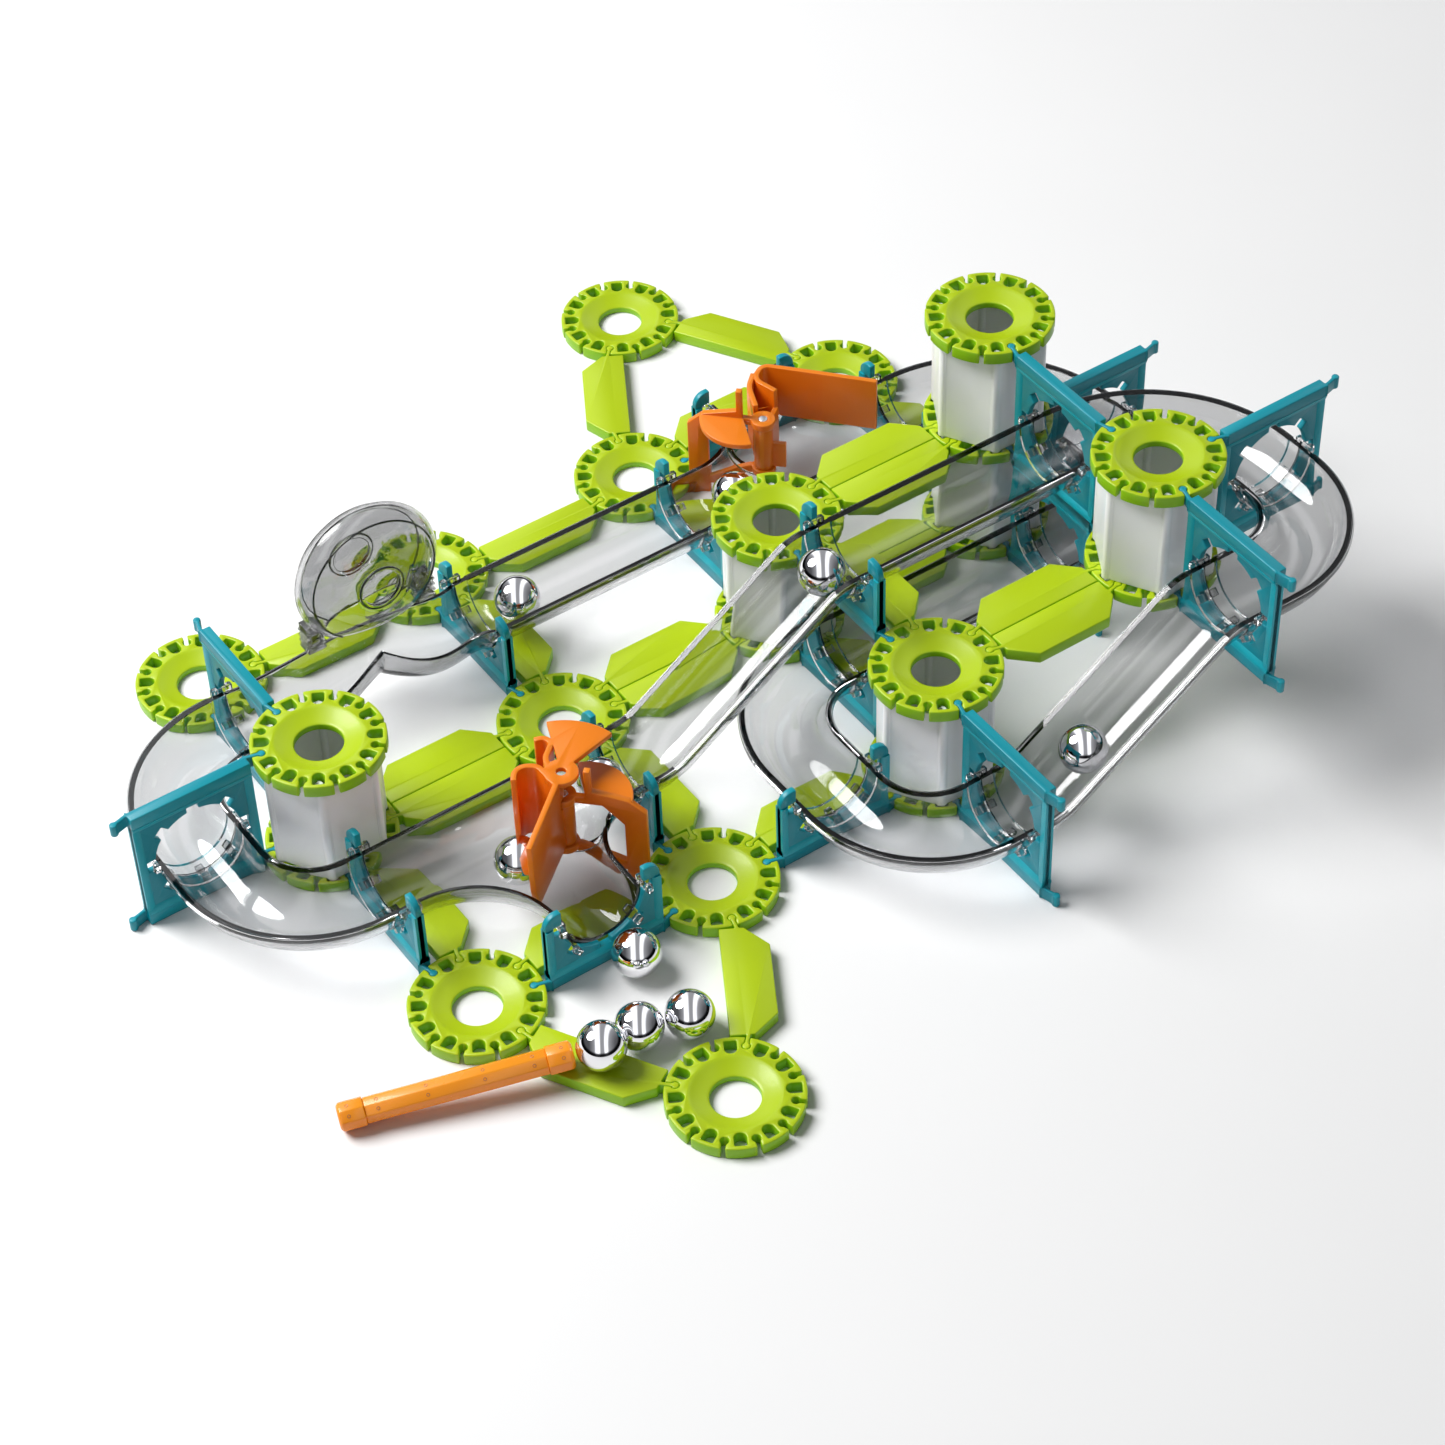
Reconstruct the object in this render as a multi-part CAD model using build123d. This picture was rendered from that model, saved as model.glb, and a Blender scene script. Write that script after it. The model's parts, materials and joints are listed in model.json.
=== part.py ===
from build123d import *
import math
import os

# Modular marble run: round hubs on a square grid, joined by keyed bars and panels,
# with clear troughs on two levels and two swinging ball gates. Millimetres, +Z up.
# The origin is the axis of the front left hub, on the surface that the run stands on.

# ---------------------------------------------------------------- driving dimensions
CELL = 70.0              # grid pitch between hub axes
LEVEL = 34.6             # height from one level to the next
BALL_R = 6.35
FIT = 0.1                # gap between keyed plastic pieces

HUB_R = 17.3
HUB_T = 3.6
HUB_BORE_R = 6.3
DISH_R = 11.5            # rim of the concave dish on top of a hub
DISH_DEPTH = 1.7
SOCKET_COUNT = 12
SOCKET_STEP = 360 / SOCKET_COUNT
KEY_CIRCLE_R = 14.7      # circle that the key sockets lie on
SOCKET_R = 1.1
KEY_R = SOCKET_R - FIT
SLOT_W = 1.2
NECK_W = SLOT_W - 2 * FIT
POCKET_W = 3.1
POCKET_IN = 13.75
POCKET_OUT = 16.1
KEY_ANGLE = SOCKET_STEP / 2
KEY_X = KEY_CIRCLE_R * math.cos(math.radians(KEY_ANGLE))
KEY_SIDE = KEY_CIRCLE_R * math.sin(math.radians(KEY_ANGLE))   # keys sit this far beside a grid line

COLUMN_R = 16.0          # corner radius of the hexagonal column
COLUMN_WALL = 1.3
RIB_R = 1.4
PIN_R = 1.0
PIN_CIRCLE_R = 14.2
PIN_LENGTH = 1.7

BAR_W = 12.5
BAR_GAP = 0.15           # half the seam between two bars side by side
BAR_END = HUB_R + 0.4
BAR_CHAMFER = 6.1

WEB_T = 1.8
RAIL_T = 3.2
RAIL_H = 3.6
PANEL_H = LEVEL + HUB_T
WEB_END = 18.2
HOLE_R = 12.0
NOTCH_R = 13.4
NOTCH_W = 3.2
NOTCH_COUNT = 8
EAR_TOP = 25.0

AXIS_Z = PANEL_H / 2     # height of a trough's axis above its own level
TROUGH_R = 11.6
TROUGH_WALL = 1.2
TROUGH_IN = TROUGH_R - TROUGH_WALL
LIP_W = 0.8
LIP_H = 1.0
END_CLEAR = 4.0          # stretch at each end with no lip, where a trough passes a panel
END_GAP = 0.15           # half the gap between two troughs that meet in a panel
LUG = (1.0, 3.0, 2.4)    # snap lug at the ends of a trough's rims: across, up, along
BEND_SPARE = 5.0         # straight stretch kept at the shorter end of a bend
SLOPE_R = 15.0
SLOPE_FLAT = 4.4
BASIN_SIDE_R = 10.8      # rounding between a basin's wall and its floor
SLIT = (20.0, 34.8)      # slit for a gate bracket, as distances from its hub's axis
BALL_CLEAR = 0.03        # gap under a ball
TRACK_BALL_Z = AXIS_Z - TROUGH_IN + BALL_R + BALL_CLEAR

OUT = "parts"
os.makedirs(OUT, exist_ok=True)


# ---------------------------------------------------------------- helpers
def grid(x, y, level=0):
    """A point of the grid on one level, in millimetres."""
    return Vector(x * CELL, y * CELL, level * LEVEL)


def put(shape, at, angle=0.0):
    """The shape turned about Z and moved to a point."""
    return Pos(at.X, at.Y, at.Z) * Rot(0, 0, angle) * shape


def heading(start, end):
    return math.degrees(math.atan2(end.Y - start.Y, end.X - start.X))


def ring_places(radius, count, first=0.0):
    """Places on a circle, each turned to face outwards."""
    return [Rot(0, 0, first + 360 / count * k) * Pos(radius, 0) for k in range(count)]


def one(shape):
    """The single solid of a boolean result."""
    solids = shape.solids()
    return max(solids, key=lambda s: s.volume) if len(solids) > 1 else solids[0]


def write(name, solids, colour):
    shapes = [s for s in solids]
    group = shapes[0] if len(shapes) == 1 else Compound(children=shapes)
    group.label = name
    group.color = Color(*colour)
    export_step(group, os.path.join(OUT, name + ".step"))


# ---------------------------------------------------------------- hub, column, bar
def hub():
    """Disc with twelve key sockets in its rim, pockets between them and a dish round its bore."""
    pocket = Pos(POCKET_IN, 0) * Circle(POCKET_W / 2)
    pocket += Pos((POCKET_IN + POCKET_OUT) / 2, 0) * Rectangle(POCKET_OUT - POCKET_IN, POCKET_W)
    socket = Pos(KEY_CIRCLE_R, 0) * Circle(SOCKET_R)
    socket += Pos(KEY_CIRCLE_R + 2, 0) * Rectangle(4, SLOT_W)
    cuts = [Circle(HUB_BORE_R)]
    for k in range(SOCKET_COUNT):
        cuts.append(Rot(0, 0, SOCKET_STEP * k) * pocket)
        cuts.append(Rot(0, 0, SOCKET_STEP * k + KEY_ANGLE) * socket)
    disc = extrude(Circle(HUB_R) - cuts, HUB_T)
    rise = (DISH_R ** 2 - HUB_BORE_R ** 2 - DISH_DEPTH ** 2) / (2 * DISH_DEPTH)
    bowl = Sphere(math.hypot(DISH_R, rise))
    return one(disc - Pos(0, 0, HUB_T + rise) * bowl)


def column():
    """Hollow hexagonal column with a rib at each corner and pins that enter the hubs' pockets."""
    plan = RegularPolygon(COLUMN_R, 6) - RegularPolygon(COLUMN_R - COLUMN_WALL / math.cos(math.pi / 6), 6)
    plan += [place * Circle(RIB_R) for place in ring_places(COLUMN_R - RIB_R + 0.25, 6)]
    body = Pos(0, 0, HUB_T) * extrude(plan, LEVEL - HUB_T)
    pin = Cylinder(PIN_R, LEVEL - HUB_T + 2 * PIN_LENGTH)
    middle = (LEVEL + HUB_T) / 2
    pins = [Pos(0, 0, middle) * place * pin for place in ring_places(PIN_CIRCLE_R, 6)]
    return one(body + pins)


def key_plan(side):
    """Neck and round key at one end of a bar or panel, on the given side of the grid line."""
    reach = 19.4
    neck = Pos((KEY_CIRCLE_R + reach) / 2, 0) * Rectangle(reach - KEY_CIRCLE_R, NECK_W)
    return Rot(0, 0, side * KEY_ANGLE) * (Pos(KEY_CIRCLE_R, 0) * Circle(KEY_R) + neck)


def both_ends(shape):
    """A shape at the near end of a grid line, and its mirror image at the far end."""
    middle = Plane(origin=(CELL / 2, 0, 0), z_dir=(1, 0, 0))
    return [shape, mirror(shape, about=middle)]


def bar(side):
    """Flat bar that fills one side of a grid line, with a key at each end."""
    low, high = BAR_END, CELL - BAR_END
    shoulder = BAR_W - BAR_CHAMFER
    outline = [(low, BAR_GAP), (high, BAR_GAP), (high, shoulder), (high - BAR_CHAMFER, BAR_W),
               (low + BAR_CHAMFER, BAR_W), (low, shoulder)]
    plan = make_face(Polyline([(x, side * y) for x, y in outline], close=True))
    return one(extrude(plan + both_ends(key_plan(side)), HUB_T))


# ---------------------------------------------------------------- panels
def sprocket(radius):
    """Round hole with square notches for the troughs' snap lugs."""
    notch = Pos((radius + NOTCH_R) / 2, 0) * Rectangle(NOTCH_R - radius + 2, NOTCH_W)
    return Circle(radius) + [Rot(0, 0, 360 / NOTCH_COUNT * k) * notch for k in range(NOTCH_COUNT)]


def standing(plan, thickness, side):
    """A face drawn along the grid line and upwards, as an upright plate beside that line."""
    plate = Rot(90, 0, 0) * extrude(plan, thickness)
    return Pos(0, side * KEY_SIDE + thickness / 2, 0) * plate


def keys(side, bottom):
    return [Pos(0, 0, bottom) * extrude(plan, HUB_T) for plan in both_ends(key_plan(side))]


def panel(side):
    """Full-height panel: a notched round window between two rails, keyed into two levels of hubs."""
    web = Pos(CELL / 2, PANEL_H / 2) * Rectangle(CELL - 2 * WEB_END, PANEL_H)
    web -= Pos(CELL / 2, AXIS_Z) * sprocket(HOLE_R)
    rail = Pos(CELL / 2, RAIL_H / 2) * Rectangle(CELL - 2 * WEB_END, RAIL_H)
    solid = standing(web, WEB_T, side) + standing(rail, RAIL_T, side)
    solid += standing(Pos(0, LEVEL + HUB_T - RAIL_H) * rail, RAIL_T, side)
    return one(solid + keys(side, 0) + keys(side, LEVEL))


def saddle(side):
    """Half-height panel with a notched cradle that is open at the top, keyed into one level."""
    web = Pos(CELL / 2, EAR_TOP / 2) * Rectangle(CELL - 2 * WEB_END, EAR_TOP)
    web = fillet(web.vertices().sort_by(Axis.Y)[-2:], 3.6)
    cradle = Pos(CELL / 2, AXIS_Z) * sprocket(HOLE_R)
    cradle += Pos(CELL / 2, AXIS_Z + 6) * Rectangle(2 * HOLE_R, 12)
    web -= cradle
    rail = Pos(CELL / 2, RAIL_H / 2) * Rectangle(CELL - 2 * WEB_END, RAIL_H)
    return one(standing(web, WEB_T, side) + standing(rail, RAIL_T, side) + keys(side, 0))


# ---------------------------------------------------------------- clear troughs
def trough_section():
    """Half ring, open upwards."""
    ring = Circle(TROUGH_R) - Circle(TROUGH_IN)
    return ring - Pos(0, TROUGH_R) * Rectangle(4 * TROUGH_R, 2 * TROUGH_R)


def lip_section():
    """The two lips that stiffen a trough's rims."""
    overlap = TROUGH_WALL / 2
    lip = Pos(TROUGH_R + (LIP_W - overlap) / 2, -LIP_H / 2) * Rectangle(LIP_W + overlap, LIP_H)
    return [lip, mirror(lip, about=Plane.YZ)]


def end_plane(at, tangent):
    """Plane square to a trough, with X to its side and Y upwards."""
    return Plane(origin=at, x_dir=Vector(0, 0, 1).cross(tangent), z_dir=tangent)


def snap_lugs(at, inward):
    """The two lugs that stand on the rims at one end of a trough."""
    plane = end_plane(at, inward)
    wide, high, deep = LUG
    return [plane * Pos(hand * (TROUGH_IN + TROUGH_WALL / 2), high / 2 - 1.0, 2.2) * Box(wide, high, deep)
            for hand in (-1, 1)]


def trough(start, start_dir, middle, end, end_dir):
    """Trough that leaves start, runs along the middle edges and arrives square at end."""
    first, last = middle[0] @ 0, middle[-1] @ 1
    whole = Wire([Line(start, first), *middle, Line(last, end)])
    clear = Wire([Line(start + start_dir * END_CLEAR, first), *middle, Line(last, end - end_dir * END_CLEAR)])
    solid = sweep(end_plane(start, start_dir) * trough_section(), path=whole)
    for lip in lip_section():
        solid += sweep(end_plane(start + start_dir * END_CLEAR, start_dir) * lip, path=clear)
    return one(solid + snap_lugs(start, start_dir) + snap_lugs(end, end_dir * -1))


def straight_trough(start, end):
    way = (end - start).normalized()
    start, end = start + way * END_GAP, end - way * END_GAP
    middle = Line(start + way * 2 * END_CLEAR, end - way * 2 * END_CLEAR)
    return trough(start, way, [middle], end, way)


def bend_trough(start, end, first):
    """Quarter turn from start, which it leaves along first, to end."""
    along = first * (end - start).dot(first)
    across = (end - start) - along
    radius = min(along.length, across.length) - BEND_SPARE
    second = across.normalized()
    a, b = start + first * END_GAP, end - second * END_GAP
    corner = start + along
    arc_in, arc_out = corner - first * radius, corner + second * radius
    return trough(a, first, [TangentArc(arc_in, arc_out, tangent=first)], b, second)


def slope_angle(low, high):
    """Steepest angle of a slope, between its two equal bends."""
    run = abs(high.X - low.X) - 2 * END_GAP - 2 * SLOPE_FLAT
    rise = high.Z - low.Z
    length = math.sqrt(run ** 2 + rise ** 2 - 4 * SLOPE_R * rise)
    return math.atan2(rise - 2 * SLOPE_R, run) + math.atan2(2 * SLOPE_R, length)


def slope_trough(low, high):
    """Trough that climbs one level between two level ends."""
    way = Vector(high.X - low.X, high.Y - low.Y, 0).normalized()
    up = Vector(0, 0, 1)
    a, b = low + way * END_GAP, high - way * END_GAP
    angle = slope_angle(low, high)
    bend_run, bend_rise = SLOPE_R * math.sin(angle), SLOPE_R * (1 - math.cos(angle))
    p1 = a + way * SLOPE_FLAT
    p2 = p1 + way * bend_run + up * bend_rise
    p4 = b - way * SLOPE_FLAT
    p3 = p4 - way * bend_run - up * bend_rise
    lift = way * math.cos(angle) + up * math.sin(angle)
    middle = [TangentArc(p1, p2, tangent=way), Line(p2, p3), TangentArc(p3, p4, tangent=lift)]
    return trough(a, way, middle, b, way)


def shell_from_plan(outer, inner, keep):
    """Open basin between two plan outlines, with rounded sides, cut off at its mouths."""
    def bowl(plan, bottom, top, rounding):
        block = Pos(0, 0, bottom) * extrude(plan, top - bottom)
        return fillet(block.edges().group_by(Axis.Z)[0], rounding)
    outside = bowl(outer, AXIS_Z - TROUGH_R, AXIS_Z, BASIN_SIDE_R)
    inside = bowl(inner, AXIS_Z - TROUGH_IN, AXIS_Z + 4, BASIN_SIDE_R - TROUGH_WALL)
    return one((outside - inside) & keep)


def tee_basin(centre, north):
    """Basin with west and east mouths and one mouth to the north (+1) or to the south (-1)."""
    west, east = -CELL / 2 - KEY_SIDE, CELL / 2 - KEY_SIDE
    branch = CELL / 2 - KEY_SIDE if north > 0 else CELL / 2 + KEY_SIDE
    beyond = 20.0

    def plan(half):
        spare = TROUGH_R - half
        run = Pos((west + east) / 2, 0) * Rectangle(east - west + 2 * beyond, 2 * half)
        stem_length = branch + beyond
        stem = Pos(0, north * stem_length / 2) * Rectangle(2 * half, stem_length)
        outline = run + stem
        inner_corners = [v for v in outline.vertices()
                         if abs(abs(v.X) - half) < 0.01 and abs(v.Y - north * half) < 0.01]
        left = [v for v in inner_corners if v.X < 0]
        right = [v for v in inner_corners if v.X > 0]
        outline = fillet(left, (17.5 if north > 0 else 24.0) + spare)
        right = [v for v in outline.vertices()
                 if abs(v.X - half) < 0.01 and abs(v.Y - north * half) < 0.01]
        return fillet(right, 17.5 + spare)

    length = east - west - 2 * END_GAP
    depth = branch - END_GAP + TROUGH_R + 5
    keep = Box(length, depth, 60)
    keep = Pos((west + east) / 2, north * (branch - END_GAP - depth / 2), AXIS_Z) * keep
    basin = shell_from_plan(plan(TROUGH_R), plan(TROUGH_IN), keep)
    hub_corner = Vector(-CELL / 2, CELL / 2, 0) if north > 0 else Vector(CELL / 2, -CELL / 2, 0)
    slit = Pos((SLIT[0] + SLIT[1]) / 2, 0, AXIS_Z) * Box(SLIT[1] - SLIT[0], WEB_T + 0.8, 4 * TROUGH_R)
    basin -= put(slit, hub_corner, -45 if north > 0 else 135)
    return put(one(basin), centre)


# ---------------------------------------------------------------- loop
LOOP_CENTRE = (40.0, 113.5, 40.5)
LOOP_R = 20.8
LOOP_HALF_W = 7.6
LOOP_WALL = 1.2
BOSS_R = 6.4


WAIST = (37.7, 111.4, 6.9)
LOOP_STATIONS = {        # along X: place, centre line and half width of the trough below the drum
    "west": [(-KEY_SIDE + END_GAP, 1.5 * CELL, TROUGH_R), (12.0, 1.5 * CELL, TROUGH_R),
             (24.0, 107.4, 10.2), (30.5, 109.3, 8.7), WAIST],
    "east": [WAIST, (41.0, 108.7, 9.4), (46.0, 106.2, 11.4),
             (52.0, 1.5 * CELL, TROUGH_R), (CELL - KEY_SIDE - END_GAP, 1.5 * CELL, TROUGH_R)],
}


def loop_track():
    """Trough under the loop, with its front wall drawn in to a point below the drum."""
    eastward = Vector(1, 0, 0)

    def half_pipe(stations, wall):
        faces = []
        for x, y, half in stations:
            face = Ellipse(half - wall, TROUGH_R - wall)
            if wall == 0:
                face &= Pos(0, -TROUGH_R) * Rectangle(4 * TROUGH_R, 2 * TROUGH_R)
            faces.append(end_plane(Vector(x, y, AXIS_Z), eastward) * face)
        return loft(faces)

    solid = half_pipe(LOOP_STATIONS["west"], 0) + half_pipe(LOOP_STATIONS["east"], 0)
    for side in ("west", "east"):
        solid -= half_pipe(LOOP_STATIONS[side], TROUGH_WALL)
    return one(solid)


def loop_drum():
    """Clear upright drum that the ball circles in: hollow, bossed on both faces, open below."""
    def disc(radius, half):
        ellipse = Ellipse(radius, half * 1.12) & Pos(0, 0) * Rectangle(2 * radius, 2 * half)
        half_disc = ellipse & Pos(radius / 2, 0) * Rectangle(radius, 4 * half)
        return revolve(half_disc, axis=Axis.Y)
    outer = disc(LOOP_R, LOOP_HALF_W)
    boss = Cylinder(BOSS_R, 2 * LOOP_HALF_W + 1.2)
    outer += Rot(90, 0, 0) * boss
    inner = disc(LOOP_R - LOOP_WALL, LOOP_HALF_W - LOOP_WALL)
    dimples = [Pos(0, s * (LOOP_HALF_W + 0.6), 0) * Rot(90, 0, 0) * Cylinder(BOSS_R - 1.0, 1.2) for s in (-1, 1)]
    drum = outer - inner - dimples
    foot = Box(5.0, 4.0, 9.0)
    drum += [Pos(s * 16.8, 2.2, -15.4) * (foot - Pos(0, 0, 0) * Box(2.6, 6.0, 4.0)) for s in (-1, 1)]
    mouth = Pos(0, 0, -LOOP_R) * Box(26.0, 2 * LOOP_HALF_W - 3.2, 13.0)
    return one(Pos(*LOOP_CENTRE) * (drum - mouth))


# ---------------------------------------------------------------- ball gates
GATE_WALL = 1.5
PIVOT_R = 1.25
TUBE_R = 2.7
PIVOT_U = 37.1           # distance of the pivot from its hub, along the cell's diagonal
EYE_R = 3.4
LOW_EYE = (9.3, 11.3)
HIGH_EYE = (26.0, 28.2)
GATE_BOTTOM = 11.6
SHELF_U = 31.4
SHELF_R = 12.0


def sector(radius, first, last):
    """Flat sector of a disc between two angles in degrees."""
    reach = 2 * radius
    corners = [(0, 0)] + [(reach * math.cos(math.radians(a)), reach * math.sin(math.radians(a)))
                          for a in (first, (first + last) / 2, last)]
    return Circle(radius) & make_face(Polyline(corners, close=True))


def bracket():
    """Keyed bracket, drawn along +X from its hub: upright, two arms with eyes and a round shelf."""
    upright = make_face(Polyline([(15.8, 4.0), (18.0, 4.0), (18.0, 0.0), (21.6, 0.0), (21.6, 20.0), (27.0, 26.0), (PIVOT_U, 26.0),
                                  (PIVOT_U, 28.2), (31.4, 28.2), (31.4, 37.5), (29.7, 37.5), (29.7, 30.4),
                                  (20.2, 28.5), (15.8, 24.6)], close=True))
    brace = make_face(Polyline([(21.0, 3.6), (23.5, 3.6), (34.9, 9.3), (PIVOT_U, 9.3), (PIVOT_U, 11.3),
                                (33.0, 11.3), (21.0, 6.4)], close=True))
    plate = Rot(90, 0, 0) * extrude(upright, WEB_T) + Rot(90, 0, 0) * extrude(brace, WEB_T)
    solid = Pos(0, WEB_T / 2, 0) * plate
    solid += extrude(key_plan(0), HUB_T)
    shelf = Pos(SHELF_U, 0) * sector(SHELF_R, 180, 292)
    solid += Pos(0, 0, HIGH_EYE[1] - 1.6) * extrude(shelf, 1.6)
    for low, high in (LOW_EYE, HIGH_EYE):
        solid += Pos(PIVOT_U, 0, (low + high) / 2) * Cylinder(EYE_R, high - low)
    bore = Pos(PIVOT_U, 0, 20) * Cylinder(PIVOT_R, 60)
    clear_tube = Pos(PIVOT_U, 0, (LOW_EYE[1] + HIGH_EYE[0]) / 2)
    clear_tube *= Cylinder(TUBE_R + 0.6, HIGH_EYE[0] - LOW_EYE[1])
    return one(solid - bore - clear_tube)


def pivot_pin():
    length = HIGH_EYE[1] - LOW_EYE[0]
    return Pos(PIVOT_U, 0, (HIGH_EYE[1] + LOW_EYE[0]) / 2) * Cylinder(PIVOT_R - 0.01, length)


def wall(points, radii, bottom, top, thickness=GATE_WALL):
    """Upright wall along an open plan line whose corners are rounded."""
    line = FilletPolyline(*points, radius=radii) if len(points) > 2 else Line(*points)
    strip = trace(line, thickness)
    return Pos(0, 0, bottom) * extrude(strip, top - bottom)


def gate_tube():
    tube = Cylinder(TUBE_R, HIGH_EYE[0] - 0.3 - GATE_BOTTOM) - Cylinder(PIVOT_R + 0.05, 60)
    return Pos(0, 0, (HIGH_EYE[0] - 0.3 + GATE_BOTTOM) / 2) * tube


def clear_of_eye(solid):
    """Room for the bracket's upper eye inside a gate."""
    gap = Cylinder(EYE_R + 0.5, HIGH_EYE[1] - HIGH_EYE[0] + 0.8)
    bore = Cylinder(PIVOT_R + 0.05, 60)
    return solid - Pos(0, 0, (HIGH_EYE[0] + HIGH_EYE[1]) / 2) * gap - Pos(0, 0, 20) * bore


def blade_gate():
    """Gate with a long blade, two cups and a sector vane, drawn about its pivot."""
    top = 36.0
    outline = make_face(Polyline([(0, GATE_BOTTOM), (0, top), (27.0, top), (26.4, 20.0), (25.4, 15.2),
                                  (23.2, 12.6), (6.0, GATE_BOTTOM)], close=True))
    blade = Pos(0, GATE_WALL / 2, 0) * Rot(90, 0, 0) * extrude(outline, GATE_WALL)
    solid = gate_tube() + Rot(0, 0, 220) * blade
    solid += wall([(-3.4, -2.9), (-3.6, 5.2), (-8.4, 8.6), (-11.2, 4.4)], [3.0, 3.4], GATE_BOTTOM + 0.6, top)
    solid += wall([(-3.4, -2.9), (-0.6, 6.4), (5.6, 11.6), (0.6, 13.4)], [4.0, 2.2], 22.0, top)
    vane = sector(18.0, 12, 69) + Circle(4.4)
    solid += Pos(0, 0, top - GATE_WALL) * extrude(vane, GATE_WALL)
    return one(clear_of_eye(solid))


def scoop_gate():
    """Gate with a long curved deflector wall, drawn about its pivot."""
    top = 30.0
    solid = gate_tube()
    solid += wall([(8.6, 6.0), (6.6, 14.0), (12.0, 17.4), (23.4, 4.4), (33.6, -7.4)], [4.0, 2.8, 40.0],
                  GATE_BOTTOM + 1.2, top)
    solid += wall([(0.0, 0.0), (8.8, 6.2)], [], GATE_BOTTOM, 24.0)
    solid += wall([(0.4, 4.0), (3.6, 12.0), (7.8, 15.8)], [9.0], GATE_BOTTOM + 0.4, top)
    solid += wall([(0.0, 0.0), (0.4, 4.4)], [], GATE_BOTTOM + 0.4, 24.0)
    solid += wall([(0.0, 0.0), (4.6, -4.4)], [], GATE_BOTTOM, 20.0)
    return one(clear_of_eye(solid))


# ---------------------------------------------------------------- loose pieces
WAND_LENGTH = 58.0
WAND_FLAT = 7.0          # across the flats of its octagon
WAND_TILT = 4.0
WAND_START = Vector(-46.2, -11.6, 3.74)
WAND_HEADING = -19.5
WAND_CAP = 6.5


def wand_pieces():
    """Octagonal magnet rod lying with one end on a bar: a sleeve between two end caps."""
    octagon = RegularPolygon(WAND_FLAT / 2, 8, major_radius=False, rotation=22.5)
    slim = RegularPolygon(WAND_FLAT / 2 - 0.35, 8, major_radius=False, rotation=22.5)
    sleeve = extrude(slim, WAND_LENGTH - 2 * WAND_CAP)
    cap = extrude(octagon, WAND_CAP)
    cap = chamfer(cap.edges().group_by(Axis.Z)[0], 0.7)
    place = Pos(WAND_START.X, WAND_START.Y, WAND_START.Z) * Rot(0, 0, WAND_HEADING) * Rot(0, 90 - WAND_TILT, 0)
    return (place * Pos(0, 0, WAND_CAP) * sleeve,
            [place * cap, place * Pos(0, 0, WAND_LENGTH) * Rot(180, 0, 0) * cap])


def ball(x, y, z):
    return Pos(x, y, z) * Sphere(BALL_R)


# ---------------------------------------------------------------- assembly
LIME = (0.62, 0.78, 0.0)
TEAL = (0.0, 0.46, 0.53)
WHITE = (0.92, 0.92, 0.93)
ORANGE = (0.9, 0.4, 0.07)
CLEAR = (0.85, 0.88, 0.9)
STEEL = (0.75, 0.75, 0.77)

the_hub = hub()
the_column = column()
bars = {1: bar(1), -1: bar(-1)}
panels = {1: panel(1), -1: panel(-1)}
saddles = {1: saddle(1), -1: saddle(-1)}


def hub_at(x, y, level=0):
    return put(the_hub, grid(x, y, level))


def link(kinds, start, end, side, level=0):
    a, b = grid(*start, level), grid(*end, level)
    return put(kinds[side], a, heading(a, b))


A, B, C, D, E = (2.5, 2 + math.sqrt(0.75)), (3, 2), (2, 2), (1, 2), (0, 2)
F, G, H, I = (1, 1), (1, 0), (0, 0), (0.5, -math.sqrt(0.75))
J, K, L, M, N = (0, 1), (2, 1), (2, 0), (3, 0), (3, 1)

hub_groups = {
    "hubs_back_triangle": [(A, 0), (B, 0), (C, 0)],
    "hubs_back_row": [(D, 0), (E, 0)],
    "hub_middle": [(F, 0)],
    "hubs_front_triangle": [(G, 0), (H, 0), (I, 0)],
    "tower_hubs_ground": [(J, 0), (K, 0), (L, 0), (N, 0)],
    "tower_hubs_middle": [(J, 1), (K, 1), (L, 1), (M, 1), (N, 1)],
    "tower_hubs_top": [(M, 2), (N, 2)],
}
for name, spots in hub_groups.items():
    write(name, [hub_at(*spot, level) for spot, level in spots], LIME)
column_groups = {
    "columns_lower": [(J, 0), (K, 0), (L, 0), (N, 0)],
    "columns_upper": [(M, 1), (N, 1)],
}
for name, spots in column_groups.items():
    write(name, [put(the_column, grid(*spot, level)) for spot, level in spots], WHITE)

bar_groups = {           # each row: from, to, side of the grid line, level
    "bars_back": [(A, B, 1, 0), (C, A, 1, 0), (D, C, -1, 0), (E, D, -1, 0), (C, B, 1, 0)],
    "bars_front": [(H, I, -1, 0), (G, I, 1, 0), (H, G, 1, 0), (G, L, 1, 0)],
    "bars_left": [(H, J, -1, 0), (G, F, -1, 0), (F, D, -1, 0)],
    "bars_middle": [(J, F, 1, 0), (J, F, -1, 0), (F, K, 1, 0), (F, K, -1, 0)],
    "bars_right": [(L, K, -1, 0), (K, C, -1, 0), (N, B, -1, 0), (K, N, 1, 0), (K, N, -1, 0)],
    "bars_upper": [(K, N, 1, 1), (K, N, -1, 1), (L, K, -1, 1), (L, M, 1, 1), (L, M, -1, 1)],
}
for name, rows in bar_groups.items():
    write(name, [link(bars, a, b, side, level) for a, b, side, level in rows], LIME)

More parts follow.
